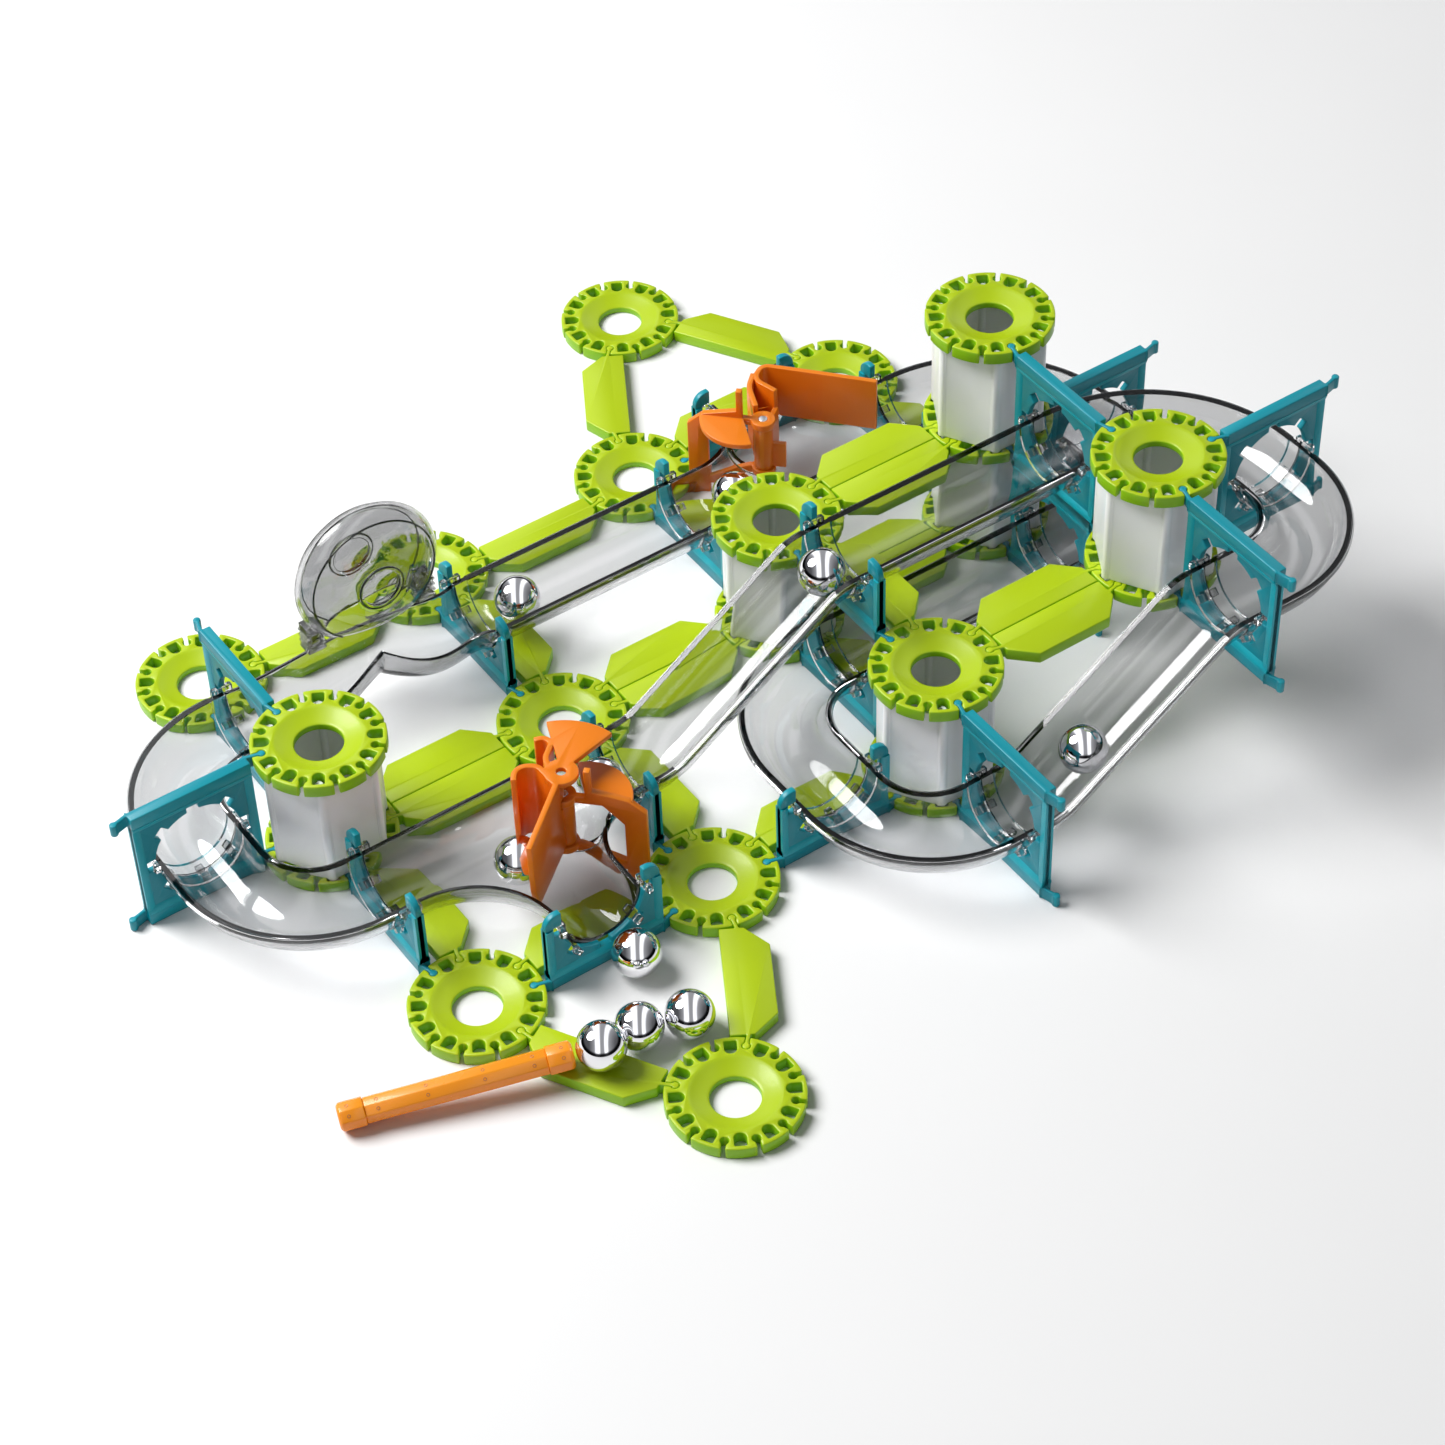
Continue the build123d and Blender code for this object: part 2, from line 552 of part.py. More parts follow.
WEST_J, SOUTH_L, SOUTH_M, EAST_M, EAST_N = (-1, 1), (2, -1), (3, -1), (4, 0), (4, 1)
panel_groups = {
    "panels_left": [(J, WEST_J, -1, 0), (J, E, 1, 0)],
    "panels_front": [(L, SOUTH_L, -1, 0), (M, SOUTH_M, -1, 1)],
    "panels_right": [(M, EAST_M, -1, 1), (N, EAST_N, -1, 0)],
    "panels_middle": [(M, N, 1, 0), (M, N, 1, 1)],
}
for name, rows in panel_groups.items():
    write(name, [link(panels, a, b, side, level) for a, b, side, level in rows], TEAL)
saddle_groups = {
    "saddles_front_basin": [(H, J, 1, 0), (G, F, 1, 0), (H, G, -1, 0)],
    "saddles_back_basin": [(K, C, 1, 0), (C, B, -1, 0), (N, B, 1, 0)],
    "saddle_loop": [(F, D, 1, 0)],
    "saddles_lower": [(G, L, -1, 0), (L, K, 1, 0)],
    "saddle_upper": [(L, K, 1, 1)],
}
for name, rows in saddle_groups.items():
    write(name, [link(saddles, a, b, side, level) for a, b, side, level in rows], TEAL)


def gate_point(x, y, level=0):
    """Centre of a trough where it crosses a panel; whole numbers mark the panel's grid line."""
    px = x * CELL - (KEY_SIDE if x == int(x) else 0)
    py = y * CELL - (KEY_SIDE if y == int(y) else 0)
    return Vector(px, py, level * LEVEL + AXIS_Z)


EASTWARD, WESTWARD = Vector(1, 0, 0), Vector(-1, 0, 0)
J_LEFT = Vector(-CELL / 2, CELL + KEY_SIDE, AXIS_Z)
straights = {
    "trough_upper": (gate_point(2, 0.5, 1), gate_point(3, 0.5, 1)),
    "trough_lower": (gate_point(2, 0.5), gate_point(3, 0.5)),
    "trough_back": (gate_point(1, 1.5), gate_point(2, 1.5)),
}
for name, ends in straights.items():
    write(name, [straight_trough(*ends)], CLEAR)
slopes = {
    "slope_middle": (gate_point(1, 0.5), gate_point(2, 0.5, 1)),
    "slope_front": (gate_point(2, -0.5), gate_point(3, -0.5, 1)),
}
for name, ends in slopes.items():
    write(name, [slope_trough(*ends)], CLEAR)
bend_pairs = {
    "bends_j": [(gate_point(0, 1.5), J_LEFT, WESTWARD), (gate_point(0, 0.5), J_LEFT, WESTWARD)],
    "bends_l": [(gate_point(2, y), gate_point(1.5, 0), WESTWARD) for y in (-0.5, 0.5)],
    "bends_m": [(gate_point(3, y, 1), gate_point(3.5, 0, 1), EASTWARD) for y in (0.5, -0.5)],
    "bends_n": [(gate_point(3, y), gate_point(3.5, 1), EASTWARD) for y in (0.5, 1.5)],
}
for name, pair in bend_pairs.items():
    write(name, [bend_trough(a, b, first) for a, b, first in pair], CLEAR)
write("basin_front", [tee_basin(grid(0.5, 0.5), -1)], CLEAR)
write("basin_back", [tee_basin(grid(2.5, 1.5), 1)], CLEAR)
write("loop_track", [loop_track()], CLEAR)
write("loop_drum", [loop_drum()], CLEAR)

pins = []
gates = {"front": (G, 135.0, blade_gate()), "back": (C, -45.0, scoop_gate())}
for name, (spot, diagonal, gate) in gates.items():
    base = grid(*spot)
    write("gate_bracket_" + name, [put(bracket(), base, diagonal)], ORANGE)
    pins.append(put(pivot_pin(), base, diagonal))
    reach = math.radians(diagonal)
    pivot = base + Vector(PIVOT_U * math.cos(reach), PIVOT_U * math.sin(reach), 0)
    write("gate_" + name, [put(gate, pivot)], ORANGE)
write("gate_pins", pins, STEEL)


def slope_ball(low, high, x):
    """Ball centre on a slope, above a place along its straight middle stretch."""
    angle = slope_angle(low, high)
    ends_middle = (low + high) * 0.5
    rise = (x - ends_middle.X) * math.tan(angle)
    drop = TROUGH_IN - BALL_R - BALL_CLEAR
    return (x + drop * math.sin(angle), low.Y, ends_middle.Z + rise - drop * math.cos(angle))


def crest_ball(high, angle):
    """Ball centre on the upper bend of a slope, where it leans by the given angle in degrees."""
    lean = math.radians(angle)
    drop = TROUGH_IN - BALL_R - BALL_CLEAR
    x = high.X - END_GAP - SLOPE_FLAT - (SLOPE_R - drop) * math.sin(lean)
    return (x, high.Y, high.Z - SLOPE_R + (SLOPE_R - drop) * math.cos(lean))


balls = {
    "ball_floor_1": (14.3, -34.4, HUB_T + BALL_R + BALL_CLEAR), "ball_floor_2": (39.2, -12.1, BALL_R),
    "ball_floor_3": (26.4, -32.2, BALL_R), "ball_floor_4": (38.7, -36.1, BALL_R),
    "ball_trough_back": (79.3, 1.5 * CELL, TRACK_BALL_Z),
    "ball_slope_top": crest_ball(slopes["slope_middle"][1], 10),
    "ball_slope_front": slope_ball(*slopes["slope_front"], 158.0),
    "ball_basin_east": (60.1, 0.5 * CELL, TRACK_BALL_Z), "ball_basin_middle": (28.4, 24.2, TRACK_BALL_Z),
    "ball_basin_back": (150.2, 1.5 * CELL, TRACK_BALL_Z),
}
for name, centre in balls.items():
    write(name, [ball(*centre)], STEEL)

sleeve, caps = wand_pieces()
write("wand_sleeve", [sleeve], ORANGE)
write("wand_caps", caps, ORANGE)
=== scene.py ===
# %% [markdown]
# # A toy marble run, dressed over its measured frame
# The run is a modular set: round keyed hubs, bars and upright panels carry clear troughs, two ball gates
# and a loop. The measured frame says where each piece is. This lesson gives every piece its rounded
# edges, its moulded or polished finish and its small details, without moving anything.

# %% Load the fixed frame
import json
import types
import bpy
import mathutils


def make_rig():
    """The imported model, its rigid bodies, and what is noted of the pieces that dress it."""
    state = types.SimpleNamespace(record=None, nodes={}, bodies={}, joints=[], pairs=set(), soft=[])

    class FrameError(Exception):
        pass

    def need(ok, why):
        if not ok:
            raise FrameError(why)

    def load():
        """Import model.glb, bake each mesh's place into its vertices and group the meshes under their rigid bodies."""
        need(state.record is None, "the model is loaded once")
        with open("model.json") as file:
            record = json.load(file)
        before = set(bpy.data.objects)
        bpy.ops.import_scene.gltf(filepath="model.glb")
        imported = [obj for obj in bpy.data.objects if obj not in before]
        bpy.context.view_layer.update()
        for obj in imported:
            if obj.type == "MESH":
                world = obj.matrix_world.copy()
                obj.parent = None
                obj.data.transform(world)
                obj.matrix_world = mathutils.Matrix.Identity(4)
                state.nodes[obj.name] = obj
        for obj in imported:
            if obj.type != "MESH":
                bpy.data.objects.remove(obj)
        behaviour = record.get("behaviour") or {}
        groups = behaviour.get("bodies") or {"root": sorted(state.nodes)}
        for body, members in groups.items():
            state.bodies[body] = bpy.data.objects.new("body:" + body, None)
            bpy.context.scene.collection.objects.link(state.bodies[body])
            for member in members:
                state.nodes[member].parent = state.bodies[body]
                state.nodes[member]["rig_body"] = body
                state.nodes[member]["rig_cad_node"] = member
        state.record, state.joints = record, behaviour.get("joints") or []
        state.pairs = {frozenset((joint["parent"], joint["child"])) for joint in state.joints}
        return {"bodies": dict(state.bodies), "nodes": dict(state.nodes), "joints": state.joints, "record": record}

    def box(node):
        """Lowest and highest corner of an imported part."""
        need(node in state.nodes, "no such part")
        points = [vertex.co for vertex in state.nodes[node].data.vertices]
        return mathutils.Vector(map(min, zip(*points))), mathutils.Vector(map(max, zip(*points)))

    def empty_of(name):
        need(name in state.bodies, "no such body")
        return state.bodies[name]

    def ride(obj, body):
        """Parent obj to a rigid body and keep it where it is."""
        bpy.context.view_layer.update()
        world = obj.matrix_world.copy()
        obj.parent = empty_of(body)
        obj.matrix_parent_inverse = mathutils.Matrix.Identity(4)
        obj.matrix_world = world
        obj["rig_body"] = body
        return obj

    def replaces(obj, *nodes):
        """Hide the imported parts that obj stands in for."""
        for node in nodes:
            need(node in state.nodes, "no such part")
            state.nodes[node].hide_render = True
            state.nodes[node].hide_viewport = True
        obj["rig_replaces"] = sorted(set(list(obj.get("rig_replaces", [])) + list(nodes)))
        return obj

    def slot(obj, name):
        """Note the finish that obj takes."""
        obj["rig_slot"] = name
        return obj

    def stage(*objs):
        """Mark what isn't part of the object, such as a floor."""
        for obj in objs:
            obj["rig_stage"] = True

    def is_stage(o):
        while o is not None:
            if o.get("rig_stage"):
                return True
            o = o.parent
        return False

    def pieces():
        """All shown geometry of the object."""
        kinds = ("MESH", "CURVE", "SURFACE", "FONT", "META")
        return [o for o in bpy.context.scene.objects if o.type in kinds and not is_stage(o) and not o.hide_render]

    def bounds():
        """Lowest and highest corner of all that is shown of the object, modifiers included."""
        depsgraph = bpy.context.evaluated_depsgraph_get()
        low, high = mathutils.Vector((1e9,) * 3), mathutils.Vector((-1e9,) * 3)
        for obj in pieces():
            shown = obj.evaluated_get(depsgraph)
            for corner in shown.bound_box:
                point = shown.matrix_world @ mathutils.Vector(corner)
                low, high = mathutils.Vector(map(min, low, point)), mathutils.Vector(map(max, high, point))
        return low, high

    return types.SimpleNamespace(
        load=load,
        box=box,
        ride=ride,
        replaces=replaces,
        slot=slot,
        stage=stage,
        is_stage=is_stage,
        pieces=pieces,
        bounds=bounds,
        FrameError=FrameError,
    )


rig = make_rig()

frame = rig.load()
import json
import math
import bmesh
import bpy
from mathutils import Matrix, Vector

cad_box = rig.bounds()
MM = 0.001
print("frame nodes:", len(frame["nodes"]), "box:", [list(c) for c in cad_box])

# %% [markdown]
# ## The camera
# A long lens from the front left, looking down at about 45 degrees, as for a catalogue. The camera is
# written as an eye point and three angles, so that each can be read and changed by itself. The slight
# roll belongs to the view, and no lens shift or depth of field is used.

# %% Camera from an eye point, a yaw, a pitch and a roll
EYE = Vector((-0.26738, -0.52417, 0.68591))
YAW, PITCH, ROLL = (math.radians(a) for a in (56.858, 45.180, 2.1556))
LENS_MM = 91.18

ahead = Vector((math.cos(YAW) * math.cos(PITCH), math.sin(YAW) * math.cos(PITCH), -math.sin(PITCH)))
level_right = Vector((math.sin(YAW), -math.cos(YAW), 0))
level_down = ahead.cross(level_right)
right = math.cos(ROLL) * level_right + math.sin(ROLL) * level_down
down = -math.sin(ROLL) * level_right + math.cos(ROLL) * level_down
camera = bpy.data.objects.new("camera", bpy.data.cameras.new("camera"))
camera.matrix_world = Matrix.Translation(EYE) @ Matrix((right, -down, -ahead)).transposed().to_4x4()
camera.data.lens, camera.data.sensor_width = LENS_MM, 36
camera.data.clip_start, camera.data.clip_end = 0.02, 20
bpy.context.scene.collection.objects.link(camera)
bpy.context.scene.camera = camera
print("camera looks along", [round(c, 3) for c in ahead])

# %% [markdown]
# ## Helpers that every piece uses
# A shader or geometry tree is a set of nodes and links. One short function adds a node and fills its
# sockets, so a tree reads like a list of what it does. Another turns whatever modifiers made into a
# plain mesh, since a finished piece is a plain mesh at the origin.

# %% Add a node, link what can be linked, set the rest
def node(tree, kind, settings=None, **sockets):
    made = tree.nodes.new(kind)
    for key, value in (settings or {}).items():
        setattr(made, key, value)
    for key, value in sockets.items():
        name = key.replace("_", " ")
        socket = made.inputs[int(key[1:])] if key[0] == "i" and key[1:].isdigit() else made.inputs[name]
        if isinstance(value, bpy.types.NodeSocket):
            tree.links.new(value, socket)
        else:
            socket.default_value = value
    return made


# %% Turn an object with live modifiers into a plain mesh object
def plain(source, name):
    bpy.context.view_layer.update()
    seen = source.evaluated_get(bpy.context.evaluated_depsgraph_get())
    mesh = bpy.data.meshes.new_from_object(seen)
    mesh.name = name
    piece = bpy.data.objects.new(name, mesh)
    bpy.context.scene.collection.objects.link(piece)
    return piece


def forget(*objects):
    for each in objects:
        bpy.data.objects.remove(each, do_unlink=True)


# %% Turn an edited shape into an object
def solid(shape, name, smooth=False):
    mesh = bpy.data.meshes.new(name)
    shape.to_mesh(mesh)
    shape.free()
    if smooth:
        mesh.shade_smooth()
    made = bpy.data.objects.new(name, mesh)
    bpy.context.scene.collection.objects.link(made)
    return made


# %% Hand a finished piece to the frame
def hand_over(piece, body, slot, material, nodes=()):
    piece.data.materials.clear()
    piece.data.materials.append(material)
    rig.ride(piece, body)
    if nodes:
        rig.replaces(piece, *nodes)
    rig.slot(piece, slot)
    return piece


# %% [markdown]
# ## Shader groups for moulded plastic
# Injection moulded plastic is never quite flat: it has a fine spark-eroded grain and slow sink marks where the wall is
# thick. Its colour is also painted a touch lighter along sharp edges, and painted lighter on faces that look up, as
# painted light from above. These effects are shared by all the coloured parts, so they sit in two groups with named
# inputs. The shader itself stays in each material.

# %% Group: grain and sink marks
def moulded_skin_group():
    tree = bpy.data.node_groups.new("moulded_skin", "ShaderNodeTree")
    face = tree.interface
    for name, value in (("Grain Size", 2600.0), ("Grain Share", 0.25), ("Sink Size", 55.0),
                        ("Roughness", 0.3), ("Roughness Spread", 0.08)):
        face.new_socket(name, in_out="INPUT", socket_type="NodeSocketFloat").default_value = value
    face.new_socket("Height", in_out="OUTPUT", socket_type="NodeSocketFloat")
    face.new_socket("Roughness", in_out="OUTPUT", socket_type="NodeSocketFloat")
    source = tree.nodes.new("NodeGroupInput").outputs
    place = tree.nodes.new("ShaderNodeTexCoord").outputs["Object"]
    grain = node(tree, "ShaderNodeTexNoise", Vector=place, Scale=source["Grain Size"], Detail=2.0)
    sink = node(tree, "ShaderNodeTexNoise", Vector=place, Scale=source["Sink Size"], Detail=1.0)
    part = node(tree, "ShaderNodeMath", {"operation": "MULTIPLY"}, i0=grain.outputs["Fac"],
                i1=source["Grain Share"])
    height = node(tree, "ShaderNodeMath", {"operation": "ADD"}, i0=part.outputs[0], i1=sink.outputs["Fac"])
    smear = node(tree, "ShaderNodeTexNoise", Vector=place, Scale=160.0, Detail=3.0)
    swing = node(tree, "ShaderNodeMath", {"operation": "SUBTRACT"}, i0=smear.outputs["Fac"], i1=0.5)
    shift = node(tree, "ShaderNodeMath", {"operation": "MULTIPLY_ADD"}, i0=swing.outputs[0],
                 i1=source["Roughness Spread"], i2=source["Roughness"])
    end = tree.nodes.new("NodeGroupOutput")
    tree.links.new(height.outputs[0], end.inputs["Height"])
    tree.links.new(shift.outputs[0], end.inputs["Roughness"])
    return tree


MOULDED_SKIN = moulded_skin_group()
print("group", MOULDED_SKIN.name, "has", len(MOULDED_SKIN.nodes), "nodes")

# %% Group: lighter edges, and painted light from above
def edges_and_painted_top_light_group():
    tree = bpy.data.node_groups.new("edges_and_painted_top_light", "ShaderNodeTree")
    face = tree.interface
    for name, value in (("Body", (0.5, 0.5, 0.5, 1)), ("Face", (0.6, 0.6, 0.6, 1)),
                        ("Edge", (0.8, 0.8, 0.8, 1))):
        face.new_socket(name, in_out="INPUT", socket_type="NodeSocketColor").default_value = value
    face.new_socket("Edge Share", in_out="INPUT", socket_type="NodeSocketFloat").default_value = 0.5
    face.new_socket("Color", in_out="OUTPUT", socket_type="NodeSocketColor")
    source = tree.nodes.new("NodeGroupInput").outputs
    shape = tree.nodes.new("ShaderNodeNewGeometry")
    # Painted light from above: faces that look up are mixed towards the lighter top colour, so the sides read as
    # painted shade.
    up = node(tree, "ShaderNodeSeparateXYZ", Vector=shape.outputs["True Normal"]).outputs["Z"]
    level = node(tree, "ShaderNodeMapRange", i0=up, i1=0.15, i2=0.95)
    tone = node(tree, "ShaderNodeMix", {"data_type": "RGBA"}, i0=level.outputs[0], i6=source["Body"],
                i7=source["Face"])
    # Sharp edges are mixed towards a lighter edge colour.
    rim = node(tree, "ShaderNodeMapRange", i0=shape.outputs["Pointiness"], i1=0.52, i2=0.62)
    share = node(tree, "ShaderNodeMath", {"operation": "MULTIPLY"}, i0=rim.outputs[0],
                 i1=source["Edge Share"])
    out = node(tree, "ShaderNodeMix", {"data_type": "RGBA"}, i0=share.outputs[0], i6=tone.outputs[2],
               i7=source["Edge"])
    end = tree.nodes.new("NodeGroupOutput")
    tree.links.new(out.outputs[2], end.inputs["Color"])
    return tree


EDGES_AND_PAINTED_TOP_LIGHT = edges_and_painted_top_light_group()
print("group", EDGES_AND_PAINTED_TOP_LIGHT.name, "has", len(EDGES_AND_PAINTED_TOP_LIGHT.nodes), "nodes")

# %% [markdown]
# ## Coloured plastics
# The hubs and bars are a bright lime, the panels a deep teal, the gates orange and the columns white.
# They differ only in colours and gloss, so one function makes them all. Each has a lighter top colour, painted light
# from above, over a darker side colour. A thin clear coat gives the wet highlight of polished tooling over the softer
# body colour.

# %% One function for every coloured plastic
def grouped(tree, group, **sockets):
    made = tree.nodes.new("ShaderNodeGroup")
    made.node_tree = group
    for key, value in sockets.items():
        made.inputs[key.replace("_", " ")].default_value = value
    return made


# face is the lighter colour for faces that look up, painted light from above; body is the darker side colour; edge is
# the colour of sharp edges.
def coloured_plastic(name, body, face, edge, roughness, coat, glow=0.0, bump=0.00006):
    made = bpy.data.materials.new(name)
    made.use_nodes = True
    tree = made.node_tree
    shader = tree.nodes["Principled BSDF"]
    skin = grouped(tree, MOULDED_SKIN, Roughness=roughness)
    tone = grouped(tree, EDGES_AND_PAINTED_TOP_LIGHT, Body=body, Face=face, Edge=edge)
    relief = node(tree, "ShaderNodeBump", Height=skin.outputs["Height"], Distance=bump, Strength=1.0)
    tree.links.new(tone.outputs["Color"], shader.inputs["Base Color"])
    tree.links.new(skin.outputs["Roughness"], shader.inputs["Roughness"])
    tree.links.new(relief.outputs["Normal"], shader.inputs["Normal"])
    shader.inputs["Specular IOR Level"].default_value = 0.38
    shader.inputs["Coat Weight"].default_value = coat
    shader.inputs["Coat Roughness"].default_value = 0.06
    shader.inputs["Subsurface Weight"].default_value = glow
    shader.inputs["Subsurface Radius"].default_value = (1.0, 0.8, 0.3)
    shader.inputs["Subsurface Scale"].default_value = 1.5 * MM
    print("plastic", name, "roughness", roughness, "coat", coat)
    return made


# %% The five colours
# Each plastic: side colour, lighter top colour as painted light from above, then edge colour.
lime = coloured_plastic("lime_plastic", (0.19, 0.44, 0.002, 1), (0.385, 0.52, 0.0, 1),
                        (0.54, 0.70, 0.01, 1), 0.34, 0.05, glow=0.06)
teal = coloured_plastic("teal_plastic", (0.0, 0.20, 0.255, 1), (0.0, 0.25, 0.32, 1),
                        (0.0, 0.38, 0.45, 1), 0.36, 0.04, glow=0.02)
orange = coloured_plastic("orange_plastic", (0.70, 0.125, 0.001, 1), (0.76, 0.19, 0.002, 1),
                          (0.86, 0.29, 0.02, 1), 0.32, 0.08, glow=0.05)
bright_orange = coloured_plastic("bright_orange_plastic", (0.80, 0.20, 0.001, 1), (0.84, 0.27, 0.002, 1),
                                 (0.95, 0.42, 0.03, 1), 0.26, 0.20, glow=0.08)
white = coloured_plastic("white_plastic", (0.84, 0.84, 0.86, 1), (0.86, 0.86, 0.87, 1),
                         (0.93, 0.93, 0.94, 1), 0.36, 0.25, glow=0.05)

# %% [markdown]
# ## Clear plastic
# The troughs are moulded in clear polystyrene, which bends light like glass. Its grey tint is partly the plastic's
# faint smoke and partly painted shade, the darker look that the room and the shadow beneath give the troughs. Its
# walls are real shells here, so refraction draws dark lines along the rims by itself. Lamps would throw a solid shadow
# through refracting glass, so a transparent stand-in takes the shadow rays and lets a tinted light through, less than
# clear plastic would, so the shadow under the troughs is darker. Flow lines from the mould give a very weak waviness.
# The beads along the rims get the same finish, far darker: they are painted dark lines, painted shade along the rims.

# %% Clear plastic with flow lines
def clear_plastic(name, tint_and_painted_shade, through):
    made = bpy.data.materials.new(name)
    made.use_nodes = True
    tree = made.node_tree
    shader, end = tree.nodes["Principled BSDF"], tree.nodes["Material Output"]
    shader.inputs["Base Color"].default_value = tint_and_painted_shade
    shader.inputs["Transmission Weight"].default_value = 1.0
    shader.inputs["IOR"].default_value = 1.49
    place = tree.nodes.new("ShaderNodeTexCoord").outputs["Object"]
    flow = node(tree, "ShaderNodeTexNoise", Vector=place, Scale=70.0, Detail=2.0)
    rough = node(tree, "ShaderNodeMapRange", i0=flow.outputs["Fac"], i3=0.012, i4=0.05)
    relief = node(tree, "ShaderNodeBump", Height=flow.outputs["Fac"], Distance=0.00012, Strength=1.0)
    tree.links.new(rough.outputs[0], shader.inputs["Roughness"])
    tree.links.new(relief.outputs["Normal"], shader.inputs["Normal"])
    path = tree.nodes.new("ShaderNodeLightPath")
    open_air = node(tree, "ShaderNodeBsdfTransparent", Color=through)
    mixed = node(tree, "ShaderNodeMixShader", i0=path.outputs["Is Shadow Ray"],
                 i1=shader.outputs[0], i2=open_air.outputs[0])
    tree.links.new(mixed.outputs[0], end.inputs["Surface"])
    print("clear plastic", name)
    return made


# Grey tint: the plastic's faint smoke, made darker as painted shade; the shadow rays pass less light than clear
# plastic would.
clear = clear_plastic("clear_plastic", (0.60, 0.60, 0.605, 1), (0.58, 0.58, 0.585, 1))
# Near-black tint: painted dark lines, painted shade along the rims.
rim = clear_plastic("painted_dark_line_plastic", (0.04, 0.043, 0.046, 1), (0.40, 0.40, 0.41, 1))

# %% [markdown]
# ## Steel
# The balls are hardened steel with a mirror polish, and the gate pins are drawn rod. Both are plain
# metal. What tells them apart is the finish: faint scattered hairlines on a ball, soft rings round a pin.

# %% Mirror polished and drawn steel
def steel(name, colour, smooth, rough, stretch):
    made = bpy.data.materials.new(name)
    made.use_nodes = True
    tree = made.node_tree
    shader = tree.nodes["Principled BSDF"]
    shader.inputs["Base Color"].default_value = colour
    shader.inputs["Metallic"].default_value = 1.0
    place = tree.nodes.new("ShaderNodeTexCoord").outputs["Object"]
    turned = node(tree, "ShaderNodeMapping", Vector=place, Scale=stretch)
    haze = node(tree, "ShaderNodeTexNoise", Vector=turned.outputs[0], Scale=220.0, Detail=4.0)
    finish = node(tree, "ShaderNodeMapRange", i0=haze.outputs["Fac"], i1=0.35, i2=0.75, i3=smooth, i4=rough)
    tree.links.new(finish.outputs[0], shader.inputs["Roughness"])
    print("steel", name, "roughness", smooth, "to", rough)
    return made


chrome = steel("chromed_steel", (0.80, 0.80, 0.82, 1), 0.02, 0.07, (1, 1, 4))
pin_steel = steel("pin_steel", (0.58, 0.58, 0.60, 1), 0.22, 0.42, (1, 1, 12))

# %% [markdown]
# ## Rounding a piece that keeps its measured shape
# Most pieces already have the right shape in the frame, but with knife edges. A moulded edge has a small
# radius that catches light. The frame's mesh is loose triangles, so a copy is merged, its flat faces are
# made whole again, and a narrow bevel rounds only the sharp edges. The curved walls stay smooth because
# their edges are under the angle limit. The columns' ring-shaped ends keep their triangles, since a flat
# face with a hole through it can close over when it is made whole.

# %% Rounded copy of one frame node
SAME_SPOT, SAME_PLANE = 0.004 * MM, math.radians(0.6)


def rounded(name, node_name, radius, angle=32, smooth=38, whole=True):
    shape = bmesh.new()
    shape.from_mesh(frame["nodes"][node_name].data)
    bmesh.ops.remove_doubles(shape, verts=shape.verts, dist=SAME_SPOT)
    if whole:
        bmesh.ops.dissolve_limit(shape, angle_limit=SAME_PLANE, verts=shape.verts, edges=shape.edges)
    source = solid(shape, name + "_sharp")
    bevel = source.modifiers.new("edge", "BEVEL")
    bevel.width, bevel.segments = radius * MM, 2
    bevel.limit_method, bevel.angle_limit = "ANGLE", math.radians(angle)
    bevel.use_clamp_overlap = False
    bevel.miter_outer = "MITER_ARC"
    piece = plain(source, name)
    forget(source)
    piece.data.shade_smooth()
    piece.data.set_sharp_from_angle(angle=math.radians(smooth))
    return piece


# %% Every piece that is a rounded copy
MOULDED = {
    "lime_plastic": (lime, 0.30, ["bars_back", "bars_front", "bars_left", "bars_middle", "bars_right",
                                  "bars_upper"]),
    "white_plastic": (white, 0.25, ["columns_lower", "columns_upper"]),
    "teal_plastic": (teal, 0.28, ["panels_left", "panels_front", "panels_right", "panels_middle",
                                  "saddles_front_basin", "saddles_back_basin", "saddle_loop",
                                  "saddles_lower", "saddle_upper"]),
    "orange_plastic": (orange, 0.22, ["gate_bracket_front", "gate_bracket_back", "gate_front", "gate_back"]),
    "bright_orange_plastic": (bright_orange, 0.3, ["wand_sleeve", "wand_caps"]),
    "pin_steel": (pin_steel, 0.15, ["gate_pins"]),
}
rides_on = {n: b for b, members in frame["record"]["behaviour"]["bodies"].items() for n in members}
for slot, (material, radius, nodes) in MOULDED.items():
    for each in nodes:
        piece = rounded(each + "_moulded", each, radius, whole=not each.startswith("columns"))
        hand_over(piece, rides_on[each], slot, material, [each])
        print(each, len(piece.data.polygons), "faces")

# %% [markdown]
# ## Ledges and end ribs of the teal panels
# A bare flat web would bend, so the mould adds a sloped ledge beside each rail and an upright rib at
# each end of the web. The ledges are a section drawn along the panel's line, and the ribs are short
# prisms. They stay within the rails' thickness and clear of the notched window.

# %% A tree that draws a section along a path
def closed_curve(name, points):
    curve = bpy.data.curves.new(name, "CURVE")
    curve.dimensions = "3D"
    line = curve.splines.new("POLY")
    line.points.add(len(points) - 1)
    for spot, (x, y) in zip(line.points, points):
        spot.co = (x, -y, 0, 1)     # an upright path lays a section's Y downwards, so heights change sign
    line.use_cyclic_u = True
    made = bpy.data.objects.new(name, curve)
    bpy.context.scene.collection.objects.link(made)
    return made


